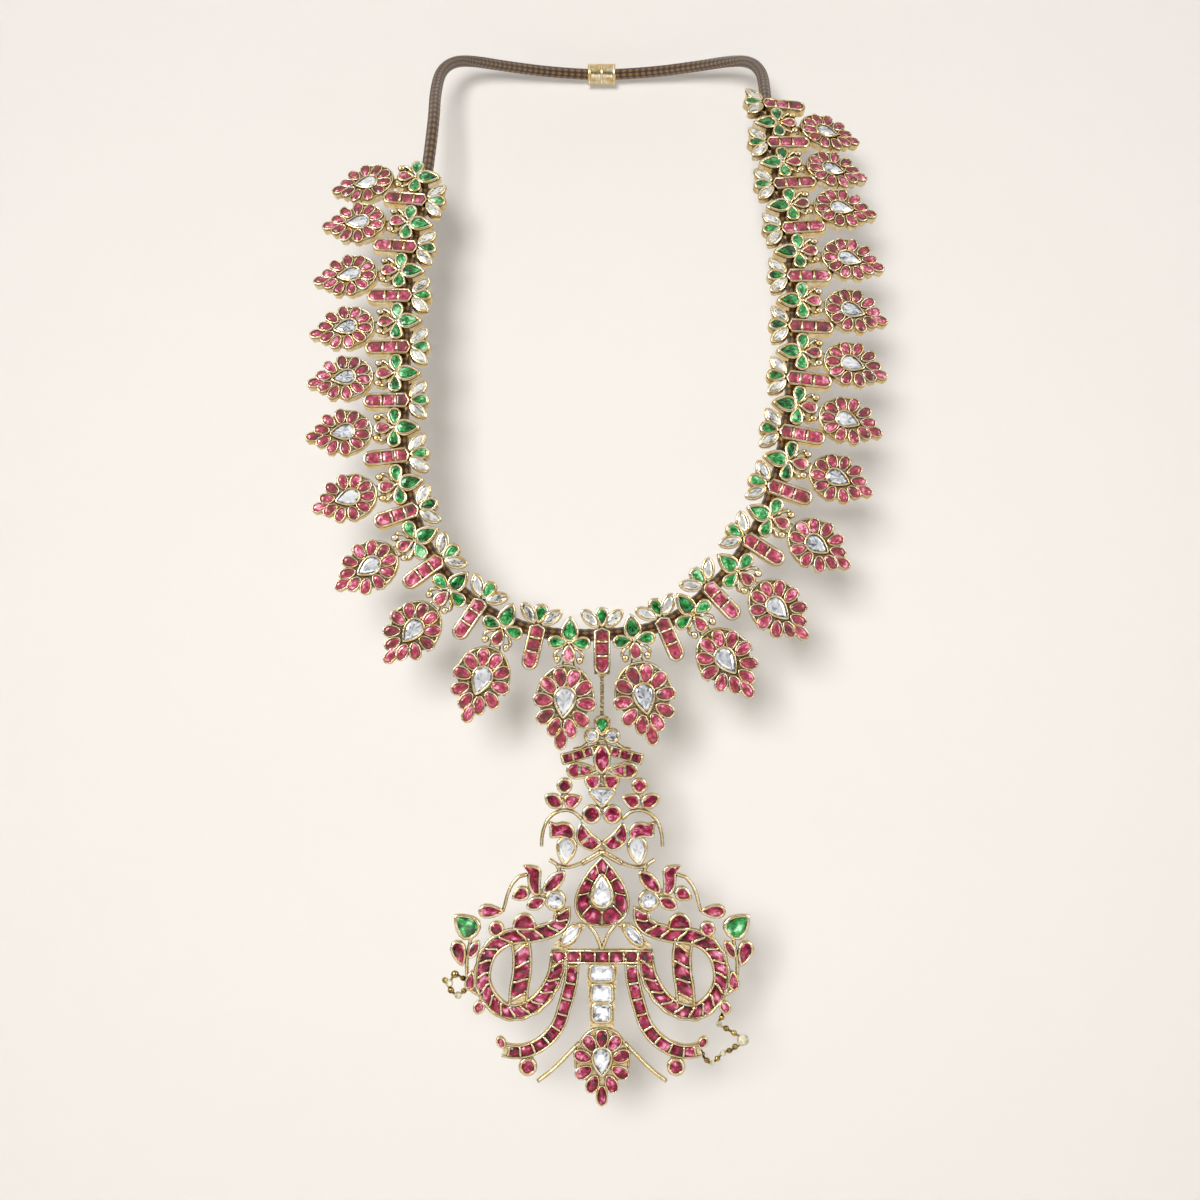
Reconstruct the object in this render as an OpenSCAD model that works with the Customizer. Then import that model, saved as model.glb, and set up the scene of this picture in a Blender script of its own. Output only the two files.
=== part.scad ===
// Long mango necklace in closed-set gold, in the form it takes when it is worn.
// Bar links and flower links are strung on one corded loop, a mango drop hangs from
// each flower, and a pierced pendant of two birds swings from the middle bar.
// The origin is the seat at the nape. -Y is the wearer's front, and the links hang to -Z.

/* [Chain] */
// Distance along the cord from one bar link to the next
link_pitch = 17.9; // [17.6:0.1:18.6]
// Number of flower links on the +X side
right_flowers = 12; // [8:12]
// Number of flower links on the -X side
left_flowers = 11; // [8:12]
// Thickness of the gold plate of every link and drop
plate_t = 2.6; // [2:0.1:3]
// Width of a bar link
bar_w = 5; // [4.6:0.1:5.4]
// Distance from the cord to the round end of a bar link
bar_reach = 11.9; // [11.5:0.1:12.5]
// Distance from the cord to a flower link's centre
flower_drop = 2.2; // [1.8:0.1:2.6]

/* [Mango drops] */
// Size of the two drops beside the middle bar, against the drawn mango
mango_big = 1; // [0.9:0.02:1.04]
// Size of the drops along the sides
mango_small = 0.8; // [0.74:0.02:0.84]
// Angle by which the highest drops fall back over the shoulder
mango_fall = 12; // [0:1:12]

/* [Cord] */
// Diameter of the stringing cord
cord_d = 4; // [3.4:0.1:4.2]
// Length of the barrel clasp at the nape
clasp_l = 10; // [8:0.5:12]
// Diameter of the barrel clasp
clasp_d = 7.2; // [7:0.1:8]

/* [Stones] */
// Depth of the pocket that a stone sits in
pocket_d = 0.9; // [0.6:0.1:1.2]
// Clearance around and under a stone
stone_gap = 0.1; // [0.1:0.01:0.15]
// Width of the gold wall around a stone
rim_w = 0.8; // [0.7:0.05:0.9]
// Height of the smallest stones, which are relief on the gold
relief_h = 0.35; // [0.25:0.05:0.5]

/* [Pendant] */
// Radius of the pin that the pendant swings on
pin_r = 0.6; // [0.5:0.05:0.65]
// Radial clearance of the pendant's eye on that pin
pin_gap = 0.25; // [0.2:0.05:0.3]
// Distance from the cord to the pin
pin_drop = 10.9; // [10.7:0.1:11]
// Width of the channel-set bands of rubies
band_w = 5; // [4.6:0.1:5.2]

/* [Hidden] */
$fn = 24;
cord_r = cord_d / 2;
// The plate's back stands this far in front of the cord's centre.
link_lift = 2.4;
eye_r = cord_r + 0.45;
eye_wall = 0.85;
eye_l = 2.2;
junction_y = 2.4;
flower_y = -flower_drop;
hinge_y = flower_y - 6.7;
ring_z = link_lift - 0.9;
ring_r = 1.7;
ring_wire = 0.35;
overlap = 0.02;

RIGHT = [for (i = [1 : right_flowers]) i];
LEFT = [for (i = [1 : left_flowers]) i];
function drop_name(side, i) = str("mango_drop_", side, "_", i);

// Centre line of the cord: from the middle bar up the +X side, round the neck and down the -X side
route = [
    [0, -146.5, -200.5], [18, -146.5, -197.5], [33, -145.5, -186.5], [44.5, -143.5, -172.5],
    [52, -140.5, -156.5], [56, -136.5, -139.5], [58.5, -131, -122.5], [59.5, -124.5, -106],
    [59.5, -117.5, -90], [58.5, -110, -75], [56.5, -102, -61], [55, -92.5, -46.5],
    [54, -82.5, -32.5], [54, -71, -21], [53.5, -57, -12], [50.5, -42, -5.5],
    [44.5, -27, -2], [34, -12.5, -0.5], [20, -1.5, 0], [5, 3.6, 0],
    [-5, 3.6, 0], [-20, -1.5, 0], [-34, -12.5, -0.5], [-44.5, -27, -2],
    [-50.5, -42, -5.5], [-54, -57, -12], [-55, -71, -21.5], [-55, -84, -34],
    [-56, -94, -49.5], [-57.5, -103.5, -65], [-60, -111.5, -81], [-61, -119.5, -97.5],
    [-61, -126.5, -114], [-61, -133, -131], [-60.5, -138, -147.5], [-57, -142, -164.5],
    [-49, -144.5, -180], [-36, -146, -192.5], [-19, -146.5, -199.5]];
route_steps = 4;
n_route = len(route);

// Catmull-Rom curve through the route's points, closed
function route_at(u) = let (
    i = floor(u), f = u - i,
    a = route[(i - 1 + n_route) % n_route], b = route[i % n_route],
    c = route[(i + 1) % n_route], d = route[(i + 2) % n_route])
    0.5 * (2 * b + (c - a) * f + (2 * a - 5 * b + 4 * c - d) * f * f
        + (3 * b - 3 * c + d - a) * f * f * f);
fine = [for (k = [0 : n_route * route_steps]) route_at((k % (n_route * route_steps)) / route_steps)];
arc = [for (k = 0, s = 0; k < len(fine);
    k = k + 1, s = s + (k < len(fine) ? norm(fine[k] - fine[k - 1]) : 0)) s];
loop_l = arc[len(arc) - 1];
by_axis = [for (axis = [0 : 2]) [for (k = [0 : len(fine) - 1]) [arc[k], fine[k][axis]]]];
function wrap(s) = s < 0 ? s + loop_l : s > loop_l ? s - loop_l : s;
function cord_at(s) = [for (axis = [0 : 2]) lookup(wrap(s), by_axis[axis])];
function unit(v) = v / norm(v);
// The middle link hangs straight, and every other link follows the cord.
function tangent_at(s) = abs(s) < 1 ? [1, 0, 0] : unit(cord_at(s + 3) - cord_at(s - 3));

// The front of a link faces the viewer, and turns a little outward high on the chest.
side_turn = 0.12;
function facing_at(s) = let (
    p = cord_at(s), t = tangent_at(s),
    high = max(0, min(1, (p.z + 140) / 110)),
    n = [sign(p.x) * side_turn * high, -1, 0])
    unit(n - (n * t) * t);

// Places a link: x runs along the cord, y points into the loop, z to the viewer
module on_cord(s) {
    p = cord_at(s);
    t = tangent_at(s);
    n = facing_at(s);
    y = cross(n, t);
    multmatrix([[t.x, y.x, n.x, p.x], [t.y, y.y, n.y, p.y], [t.z, y.z, n.z, p.z], [0, 0, 0, 1]])
        children();
}

// Outlines run clockwise about their centre, with a tip at +y
function oval(l, w, n = 12) = [for (i = [0 : n - 1]) let (a = 360 * i / n) [w / 2 * sin(a), l / 2 * cos(a)]];
function pear(l, w, n = 12) = [for (i = [0 : n - 1]) let (a = 360 * i / n)
    [w / 2 * sin(a) * sin(a / 2) / 0.77, l / 2 * cos(a)]];
function leaf(l, w, n = 12) = [for (i = [0 : n - 1]) let (a = 360 * i / n)
    [w / 2 * sin(a) * abs(sin(a)) ^ 0.5, l / 2 * cos(a)]];
function cushion(l, w, c = 0.6) = [
    [-w / 2 + c, l / 2], [w / 2 - c, l / 2], [w / 2, l / 2 - c], [w / 2, -l / 2 + c],
    [w / 2 - c, -l / 2], [-w / 2 + c, -l / 2], [-w / 2, -l / 2 + c], [-w / 2, l / 2 - c]];
function dome(l, w, n = 8) = concat(
    [for (i = [0 : n]) let (a = -90 + 180 * i / n) [w / 2 * sin(a), l * cos(a) - l / 2]]);
function outline(kind, l, w) = kind == "oval" ? oval(l, w) : kind == "pear" ? pear(l, w)
    : kind == "leaf" ? leaf(l, w) : kind == "dome" ? dome(l, w) : cushion(l, w);

// A flat band or wire of one width along a path
function across(path, i) = let (
    d = path[min(i + 1, len(path) - 1)] - path[max(i - 1, 0)]) [-d.y, d.x] / norm(d);
function strip(path, w) = concat(
    [for (i = [0 : len(path) - 1]) path[i] + across(path, i) * w / 2],
    [for (i = [len(path) - 1 : -1 : 0]) path[i] - across(path, i) * w / 2]);

// The same path with a point added midway along each stretch, on a smooth curve
function smooth(path) = let (n = len(path)) [for (k = [0 : 2 * n - 2]) let (i = floor(k / 2))
    k % 2 == 0 ? path[i]
    : (9 * (path[i] + path[i + 1]) - path[max(i - 1, 0)] - path[min(i + 2, n - 1)]) / 16];

// A cut stone with a flat foil back, a girdle, one row of facets and a table
module cut_stone(points, girdle = 0.45, crown = 0.5, table = 0.66) {
    n = len(points);
    ring = function (z, k) [for (p = points) [p.x * k, p.y * k, z]];
    polyhedron(
        points = concat(ring(0, 1), ring(girdle, 1), ring(girdle + crown, table)),
        faces = concat(
            [[for (i = [n - 1 : -1 : 0]) i]],
            [for (r = [0 : 1]) for (i = [0 : n - 1]) let (j = (i + 1) % n)
                [r * n + i, r * n + j, r * n + n + j, r * n + n + i]],
            [[for (i = [0 : n - 1]) 2 * n + i]]));
}

// Stones lie in the plane of the plate, just above the pocket's floor.
module in_pocket() {
    translate([0, 0, plate_t - pocket_d + stone_gap]) children();
}

// A gold plate with an outline, pockets and raised small stones, all drawn in the plane
module set_plate() {
    difference() {
        union() {
            linear_extrude(plate_t) offset(delta = overlap) children(0);
            linear_extrude(plate_t + relief_h) children(2);
        }
        translate([0, 0, plate_t - pocket_d]) linear_extrude(pocket_d + 1) children(1);
    }
}

// Ring soldered to a link's back, through which the cord passes
module cord_eye() {
    translate([-eye_l / 2, 0, 0]) rotate([90, 0, 90]) linear_extrude(eye_l) difference() {
        circle(r = eye_r + eye_wall);
        circle(r = eye_r);
    }
}

// Small ear with a hole for a jump ring, behind a plate whose back is at z = link_lift
module ring_ear() {
    ear = [0.8, 2, link_lift + 0.2 - (ring_z - 1)];
    difference() {
        translate([-ear.x / 2, -ear.y / 2, ring_z - 1]) cube(ear);
        translate([-1, 0, ring_z]) rotate([0, 90, 0]) cylinder(r = 0.7, h = 2);
    }
}

// Bar link: a trefoil of one emerald and two leaves on a bar of three rubies
ruby_rows = [-0.3, -4.6, -8.8];
bar_ruby = [3.5, 3.4];
leaf_turn = 45;
leaf_l = 5.2;
leaf_w = 2.4;
module trefoil(grow) {
    n = grow > 0 ? 10 : 8;
    translate([0, junction_y + 3]) polygon(pear(4.6 + 2 * grow, 2.8 + 2 * grow, n) * -1);
    for (side = [-1, 1]) translate([side * 3.3, junction_y + 2.4]) rotate(-side * leaf_turn)
        polygon(leaf(leaf_l + 2 * grow, leaf_w + 2 * grow, n));
}
module bar_outline() {
    polygon(concat([[-bar_w / 2, junction_y - 1.4], [0, junction_y + 0.4], [bar_w / 2, junction_y - 1.4]],
        [for (i = [0 : 8]) let (a = 22.5 * i)
            [bar_w / 2 * cos(a), -bar_reach + bar_w / 2 - bar_w / 2 * sin(a)]]));
    trefoil(0.8);
}
module bar_link() {
    translate([0, 0, link_lift]) set_plate() {
        bar_outline();
        for (y = ruby_rows) translate([0, y])
            polygon(cushion(bar_ruby.x + 2 * stone_gap, bar_ruby.y + 2 * stone_gap));
        trefoil(0);
    }
    cord_eye();
}
module bar_rubies() {
    for (y = ruby_rows) translate([0, y, link_lift]) in_pocket() cut_stone(cushion(bar_ruby.x, bar_ruby.y));
}

// Flower link: one large and two small emerald petals, a ruby petal and two scrolls
petal_l = 6;
petal_w = 3.9;
petal_y = flower_y + 4.1;
scroll = [[1.2, 1.2], [3.4, 2.4], [4.2, 3.8], [3.7, 5]];
module small_petals(grow) {
    n = grow > 0 ? 10 : 8;
    for (side = [-1, 1]) translate([side * 3.3, flower_y]) rotate(side * 90)
        polygon(pear(4.3 + 2 * grow, 2.9 + 2 * grow, n));
    translate([0, flower_y - 3.3]) polygon(pear(4.4 + 2 * grow, 3 + 2 * grow, n));
}
module flower_outline() {
    translate([0, petal_y]) polygon(pear(petal_l + 2 * rim_w + 0.3, petal_w + 2 * rim_w));
    small_petals(0.7);
    for (side = [-1, 1]) {
        polygon(strip([for (p = scroll) [side * p.x, flower_y - p.y]], 0.9));
        translate([side * 3.2, flower_y - 5.1]) polygon(oval(1.9, 1.9, 8));
    }
    translate([0, flower_y]) polygon(oval(3, 3, 8));
}
module flower_link() {
    translate([0, 0, link_lift]) set_plate() {
        flower_outline();
        translate([0, petal_y - 0.1]) polygon(pear(petal_l + 2 * stone_gap, petal_w + 2 * stone_gap));
        small_petals(0);
    }
    cord_eye();
    translate([0, hinge_y + ring_r, 0]) ring_ear();
}
module flower_emerald() {
    translate([0, petal_y - 0.1, link_lift]) in_pocket() cut_stone(pear(petal_l, petal_w));
}

// Mango drop, drawn about its diamond with the tip at -y
mango_top = 11.4;
diamond_l = 8.7;
diamond_w = 5.7;
drop_petals = [for (j = [0 : 9]) -160 + 35.5 * j];
end_petals = [for (j = [-4 : 4]) 38 * j];
tail_y = -10.9;
function petal_place(a) = [6.45 * sin(a), (cos(a) > 0 ? 7.2 : 8.2) * cos(a)];
module petals(angles, grow) {
    for (a = angles) let (p = petal_place(a))
        translate(p) rotate(180 - atan2(p.x, p.y)) polygon(pear(4.8 + 2 * grow, 3.1 + 2 * grow, 8));
    translate([0, tail_y]) polygon(pear(6 + 2 * grow, 3.1 + 2 * grow, 8));
}
module mango_outline(angles) {
    polygon([for (i = [0 : 19]) let (a = 18 * i)
        [(cos(a) > -0.2 ? 9 : 7.2) * sin(a), (cos(a) > -0.2 ? mango_top : 9) * cos(a)]]);
    petals(angles, 0.45);
}

// Places of the links along the cord, counted from the middle bar. They have slid a little on it.
// Drops shrink from the middle outward, sag a little along the sides and fall back at the top.
function link_s(side, i) = side * (i * link_pitch + (side > 0
    ? lookup(i, [[0, 0], [1, 0.8], [2, 0.4], [3, 1.2], [4, 1.4], [6, 0.6], [12, -1]])
    : lookup(i, [[0, 0], [0.5, 0.8], [1.5, 2.6], [2.5, 3.2], [3.5, 2.9], [4.5, 2.1], [6, 1.5], [12, 1.5]])));
function flower_s(side, i) = link_s(side, i - 0.5);
function drop_size(i) = mango_small + (mango_big - mango_small)
    * lookup(i, [[1, 1], [2, 0.7], [3, 0.4], [4, 0.2], [5, 0]]);
function drop_sag(side, i) = side > 0 ? lookup(i, [[1, -3], [2, 2], [4, 10], [7, 18], [9, 18], [12, 12]])
    : lookup(i, [[1, -3], [2, 2], [4, 7], [8, 10], [12, 12]]);
function drop_fall(i) = lookup(i, [[1, 0], [6, 0], [12, mango_fall]]);
module at_hinge(side, i, share) {
    on_cord(flower_s(side, i)) translate([0, hinge_y, ring_z])
        rotate([drop_fall(i) * share, 0, 0]) children();
}
// A drop's plate lies a little lower where it sags, so that it clears the flower.
module drop_plane(side, i) {
    sag = drop_sag(side, i);
    at_hinge(side, i, 1) rotate(-side * sag)
        translate([0, 0.3 - 0.02 * abs(sag) - drop_size(i) * mango_top, link_lift - ring_z]) children();
}
module mango_drop(side, i) {
    k = drop_size(i);
    drop_plane(side, i) set_plate() {
        scale(k) mango_outline(drop_petals);
        rotate(180) polygon(pear(diamond_l * k + 2 * stone_gap, diamond_w * k + 2 * stone_gap));
        scale(k) petals(drop_petals, 0);
    }
    at_hinge(side, i, 1) translate([0, -ring_r, -ring_z]) ring_ear();
}
module drop_diamond(side, i) {
    k = drop_size(i);
    drop_plane(side, i) in_pocket() rotate(180) cut_stone(pear(diamond_l * k, diamond_w * k));
}
module jump_ring(side, i) {
    at_hinge(side, i, 0.5) rotate_extrude() translate([ring_r, 0]) circle(r = ring_wire);
}

// Stringing cord: one closed tube along the route
cord_rings = 80;
cord_sides = 8;
module stringing_cord() {
    color("saddlebrown") polyhedron(
        points = [for (k = [0 : cord_rings - 1]) let (
            s = loop_l * k / cord_rings, p = cord_at(s), n = facing_at(s), b = cross(n, tangent_at(s)))
            for (j = [0 : cord_sides - 1]) let (a = 360 * j / cord_sides)
                p + cord_r * (cos(a) * n + sin(a) * b)],
        faces = [for (k = [0 : cord_rings - 1]) for (j = [0 : cord_sides - 1]) let (
            k2 = (k + 1) % cord_rings, j2 = (j + 1) % cord_sides)
            [k * cord_sides + j, k * cord_sides + j2, k2 * cord_sides + j2, k2 * cord_sides + j]]);
}

// Barrel clasp at the nape, a plain turned sleeve on the cord
module barrel_clasp() {
    color("gold") translate([-clasp_l / 2, clasp_d / 2, 0]) rotate([0, 90, 0]) difference() {
        cylinder(d = clasp_d, h = clasp_l);
        translate([0, 0, -1]) cylinder(r = cord_r + 0.4, h = clasp_l + 2);
    }
}

// The middle bar carries two ears and the pin that the pendant's eye turns on.
pin_ear_in = 1.35;
pin_ear_t = 1;
module middle_bar() {
    color("gold") on_cord(0) {
        bar_link();
        translate([0, -pin_drop, 0]) {
            for (x = [-pin_ear_in - pin_ear_t, pin_ear_in]) translate([x, -0.95, -0.95])
                cube([pin_ear_t, 1.9, link_lift + 1.2]);
            translate([-pin_ear_in - 0.5, 0, 0]) rotate([0, 90, 0])
                cylinder(r = pin_r, h = 2 * pin_ear_in + 1);
        }
    }
}

// Pendant, drawn in its own plane: x across, y up from a line 0.2 mm below the pin
chart_y = -0.2;
// Bands of rubies on the +X half, mirrored to the other half
bird_band = [
    [11.9, -71], [11.8, -73.5], [13, -76.3], [16.9, -78.2], [21.4, -79.2], [26.8, -79.7],
    [31.4, -81.8], [34.4, -85.2], [35.7, -89.2], [35.9, -93.2], [34.5, -97.1], [32, -100.3],
    [28.8, -102.2], [25.2, -102.3], [21.3, -100.9], [18, -98.2], [15.6, -94.6], [13.9, -90.6], [13, -85]];
leg_band = [
    [8.9, -86], [9.1, -91.5], [10.1, -96.5], [11.4, -101.1], [12.8, -105.6], [15.3, -109.4],
    [18.8, -112.4], [22.9, -114.1], [26.6, -114.4], [29.8, -113.8]];
leg_w = 4.3;
inner_band = [[24.7, -80.5], [24, -85.4], [24.2, -90.8], [25, -95.6], [25.3, -101]];
inner_w = 6;
arm_band = [[1.2, -23.4], [6.5, -24.9], [12.2, -26.5]];
arm_w = 3.4;
bar_h = 4.4;
bar_half = 15.3;
bar_y = -85.8;
// Wires: width, then the path
wires = [
    [1, [[4.4, -21.6], [6.4, -22.9], [8.6, -23.4]]],
    [1, [[6, -44.4], [8.3, -42.4], [10.1, -41.7], [12.5, -41.8], [14.6, -42.8], [16.5, -44.7], [17.6, -47.4],
        [18.1, -50], [18.2, -52.5]]],
    [1.6, [[0, -54.2], [3.5, -56.3], [6.1, -57.7]]],
    [1, [[5.5, -57.4], [8.6, -58.5], [10.9, -58.9], [13.4, -58.2], [15.8, -56.6]]],
    [1.1, [[4.6, -75.4], [3.2, -77.2], [1.7, -79.4], [0, -83.8]]],
    [1, [[22.6, -61], [25.1, -61.8], [27.2, -64.2], [28.5, -67.2], [29.2, -70], [29.8, -72]]],
    [1.2, [[13.6, -58], [12.9, -59.6], [13.2, -61.8]]],
    [1, [[39.4, -79.8], [40.6, -85.8], [40.7, -90.9], [39.4, -95.6], [36.6, -97.5]]],
    [1, [[7, -111.8], [12.5, -117.6], [16.1, -120.9], [19.4, -123.3]]]];
// Solder where small pieces meet, on the +X half: x, y, diameter
solder = [[11.2, -37.3, 2.6], [18.2, -66.9, 2.8], [22.3, -66, 2.4], [21.4, -117, 2], [0.6, -41, 3]];
// Settings on the +X half: outline, x, y, stone length, stone width, turn, wall, kind of stone.
// Stones marked none are too fine for solids, so their place is a plain boss.
settings = [
    ["oval", 3.1, -19.3, 3.1, 3.1, 0, 0.9, "diamond"],
    ["pear", 5.9, -29.7, 8.6, 4, 90, 0.7, "none"],
    ["pear", 2.6, -32.9, 3.9, 3.7, 50, 0.7, "none"],
    ["oval", 3.1, -42.9, 4.3, 4.3, 0, 0.85, "ruby"],
    ["oval", 11.3, -34.3, 3.4, 3.4, 0, 0.75, "ruby"],
    ["pear", 8.7, -38.8, 4.6, 3.4, 69, 0.7, "ruby"],
    ["leaf", 14.5, -38.9, 5, 3.2, -58, 0.7, "ruby"],
    ["pear", 10.8, -53.9, 7.2, 4.7, 188, 0.9, "diamond"],
    ["oval", 14.1, -68.8, 4.8, 4.8, 0, 0.9, "diamond"],
    ["leaf", 19.9, -69.7, 5, 2.8, -115, 0.7, "none"],
    ["leaf", 14.4, -63.3, 7.8, 3.2, 45, 0.7, "none"],
    ["pear", 24.6, -67, 4.2, 3.2, -115, 0.7, "none"],
    ["pear", 33.4, -72.1, 6.4, 3, 90, 0.7, "none"],
    ["dome", 23.4, -75.2, 4, 6, 0, 0.7, "none"],
    ["oval", 31.8, -77.4, 3.4, 3.4, 0, 0.7, "none"],
    ["pear", 41, -76.3, 7.4, 5.9, -47, 0.9, "emerald"],
    ["leaf", 38.6, -83.6, 5, 2, 29, 0.6, "none"],
    ["pear", 43, -84.8, 6.6, 3.4, 165, 0.7, "none"],
    ["pear", 39.6, -93, 5, 2.4, 8, 0.6, "none"],
    ["oval", 37, -101, 3.2, 2.4, 30, 0.6, "none"],
    ["oval", 22.3, -118.9, 3.9, 3.9, 0, 0.85, "ruby"],
    ["oval", 30.4, -111.6, 2.8, 1.8, -30, 0.5, "none"]];
// Settings on the middle line
middle_settings = [
    ["pear", 0, -16.2, 4.6, 3.4, 180, 0.9, "emerald"],
    ["leaf", 0, -26.3, 7.6, 3.9, 0, 0.8, "ruby"],
    ["pear", 0, -65.9, 9, 5.4, 0, 1, "diamond"],
    ["cushion", 0, -90.7, 4.6, 6.8, 0, 0.9, "diamond"],
    ["cushion", 0, -96.7, 5.2, 6, 0, 0.8, "diamond"],
    ["cushion", 0, -102.6, 5.1, 5.3, 0, 0.8, "diamond"]];
triangle = [[-3.4, 1.7], [0, 2.1], [3.4, 1.7], [2.2, -0.4], [0.9, -2], [0, -2.6], [-0.9, -2], [-2.2, -0.4]];
triangle_y = -37.4;
// Free outlines on the +X half: the curved ruby, the kite, the diamond leaf and the upright crest leaf
curved_ruby = [
    [8.1, -49.2], [8.4, -47.1], [9.9, -45.5], [11.9, -45.1], [14, -45.6], [16.2, -44.9], [15.8, -47.4],
    [15.6, -50.1], [13.1, -49.9], [11, -50.2], [9.2, -51]];
kite = [[6.2, -45.2], [7.9, -48.9], [6.8, -52.2], [2.9, -54], [0, -51.9], [0, -51], [3.1, -48.7]];
diamond_leaf = [
    [4.6, -76.2], [6.8, -75.5], [9, -75.7], [10.6, -77.8], [12.4, -80], [14.8, -82.3], [12.5, -83.6],
    [10.4, -83.6], [8.4, -82.1], [7.2, -80], [6, -77.9]];
crest_leaf = [
    [18.2, -60], [19.4, -58.6], [21.8, -58.1], [23.9, -58.4], [22.2, -59.8], [22.5, -61.8],
    [22.2, -64.5], [20.9, -67], [18.5, -67.1], [18.4, -63.6]];
medallion_y = -66.3;
medallion_l = 21.6;
medallion_w = 16.8;
end_drop_y = -117.4;
end_drop_size = 0.93;

module both_halves() {
    children();
    mirror([1, 0]) children();
}
module setting_outlines(rows, grow) {
    for (r = rows) translate([r[1], r[2]]) rotate(r[5])
        polygon(outline(r[0], r[3] + 2 * (grow ? r[6] : stone_gap), r[4] + 2 * (grow ? r[6] : stone_gap)));
}
function has_stone(rows) = [for (r = rows) if (r[7] != "none") r];
function has_none(rows) = [for (r = rows) if (r[7] == "none") r];
module pendant_outline() {
    both_halves() {
        polygon(strip(smooth(bird_band), band_w));
        polygon(strip(smooth(leg_band), leg_w));
        polygon(strip(inner_band, inner_w));
        polygon(strip(arm_band, arm_w));
        for (w = wires) polygon(strip(w[1], w[0]));
        setting_outlines(settings, true);
        for (spot = solder) translate([spot[0], spot[1]]) polygon(oval(spot[2], spot[2], 8));
        for (shape = [curved_ruby, kite, diamond_leaf, crest_leaf]) polygon(shape);
    }
    setting_outlines(middle_settings, true);
    translate([-bar_half, bar_y - bar_h / 2]) square([2 * bar_half, bar_h]);
    polygon([[-4.7, -87], [4.7, -87], [3.5, -107], [-3.5, -107]]);
    translate([0, triangle_y]) scale([1.28, 1.4]) polygon(triangle);
    translate([0, medallion_y]) polygon(pear(medallion_l, medallion_w, 20));
    translate([0, end_drop_y]) scale(end_drop_size) mango_outline(end_petals);
    polygon([[-1.6, -22.2], [1.6, -22.2], [1.6, -18.5], [-1.6, -18.5]]);
    polygon([[-2.4, -35.2], [2.4, -35.2], [1, -30], [-1, -30]]);
    polygon([[-1.1, -55.6], [1.1, -55.6], [1.1, -51], [-1.1, -51]]);
}
module medallion_ring(inset) {
    difference() {
        polygon(pear(medallion_l - 1.8 - inset, medallion_w - 1.8 - inset, 20));
        translate([0, 0.4]) polygon(pear(11.4 + inset, 7.6 + inset, 20));
    }
}
// The part of a band between two of its points, with both ends drawn in
function part_of(path, a, b, pull) = [for (i = [a : b])
    path[i] + (i == a ? pull * unit(path[i + 1] - path[i])
    : i == b ? pull * unit(path[i - 1] - path[i]) : [0, 0])];
module ruby_row_outlines(inset) {
    both_halves() {
        polygon(strip(part_of(smooth(bird_band), 2, 34, inset / 2), band_w - 1.7 - inset));
        polygon(strip(part_of(smooth(leg_band), 2, 16, inset / 2), leg_w - 1.5 - inset));
        polygon(strip(part_of(inner_band, 1, 3, inset / 2), inner_w - 1.8 - inset));
    }
    translate([inset / 2 - 7, bar_y - bar_h / 2 + 0.8 + inset / 2])
        square([14 - inset, bar_h - 1.6 - inset]);
    translate([0, medallion_y]) medallion_ring(inset);
}
module pendant_pockets() {
    both_halves() setting_outlines(has_stone(settings), false);
    setting_outlines(middle_settings, false);
    translate([0, triangle_y]) scale(1.05) polygon(triangle);
    both_halves() translate([9.4, -79.2]) rotate(42) polygon(leaf(7.6, 3.2));
    translate([0, end_drop_y]) scale(end_drop_size) {
        rotate(180) polygon(pear(diamond_l, diamond_w) * 1.04);
    }
    ruby_row_outlines(0);
}
module pendant_relief() {
    both_halves() {
        setting_outlines(has_none(settings), false);
        for (shape = [curved_ruby, kite, crest_leaf]) offset(delta = -0.7) polygon(shape);
    }
    translate([0, end_drop_y]) scale(end_drop_size) petals(end_petals, 0);
}
module pendant_place() {
    translate([0, route[0].y, route[0].z - pin_drop]) rotate([90, 0, 0]) children();
}
// Frame of the pendant with the eye that turns on the pin
module pendant_frame() {
    color("gold") pendant_place() {
        translate([0, chart_y, -plate_t / 2]) set_plate() {
            pendant_outline();
            pendant_pockets();
            pendant_relief();
        }
        difference() {
            union() {
                translate([-1.1, 0, 0]) rotate([0, 90, 0]) cylinder(r = pin_r + pin_gap + 0.95, h = 2.2);
                translate([-0.6, -13.7, -0.6]) cube([1.2, 12.6, 1.2]);
            }
            translate([-2, 0, 0]) rotate([0, 90, 0]) cylinder(r = pin_r + pin_gap, h = 4);
        }
    }
}
module pendant_stones(rows, kind) {
    for (r = rows) if (r[7] == kind) translate([r[1], r[2]]) rotate(r[5])
        cut_stone(outline(r[0], r[3], r[4]));
}
module in_pendant() {
    pendant_place() translate([0, chart_y, -plate_t / 2]) in_pocket() children();
}
module all_pendant_stones(kind) {
    in_pendant() {
        pendant_stones(middle_settings, kind);
        pendant_stones(settings, kind);
        mirror([1, 0, 0]) pendant_stones(settings, kind);
    }
}
module pendant_diamonds() {
    color("ghostwhite") {
        all_pendant_stones("diamond");
        in_pendant() {
            translate([0, triangle_y]) cut_stone(triangle);
            for (m = [0, 1]) mirror([m, 0, 0]) translate([9.4, -79.2]) rotate(42) cut_stone(leaf(7.4, 3));
            translate([0, end_drop_y]) rotate(180)
                cut_stone(pear(diamond_l * end_drop_size, diamond_w * end_drop_size));
        }
    }
}
module pendant_emeralds() {
    color("seagreen") all_pendant_stones("emerald");
}
module pendant_rubies() {
    color("crimson") all_pendant_stones("ruby");
}
module pendant_ruby_rows() {
    color("crimson") in_pendant() linear_extrude(0.8) ruby_row_outlines(2 * stone_gap);
}

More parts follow.
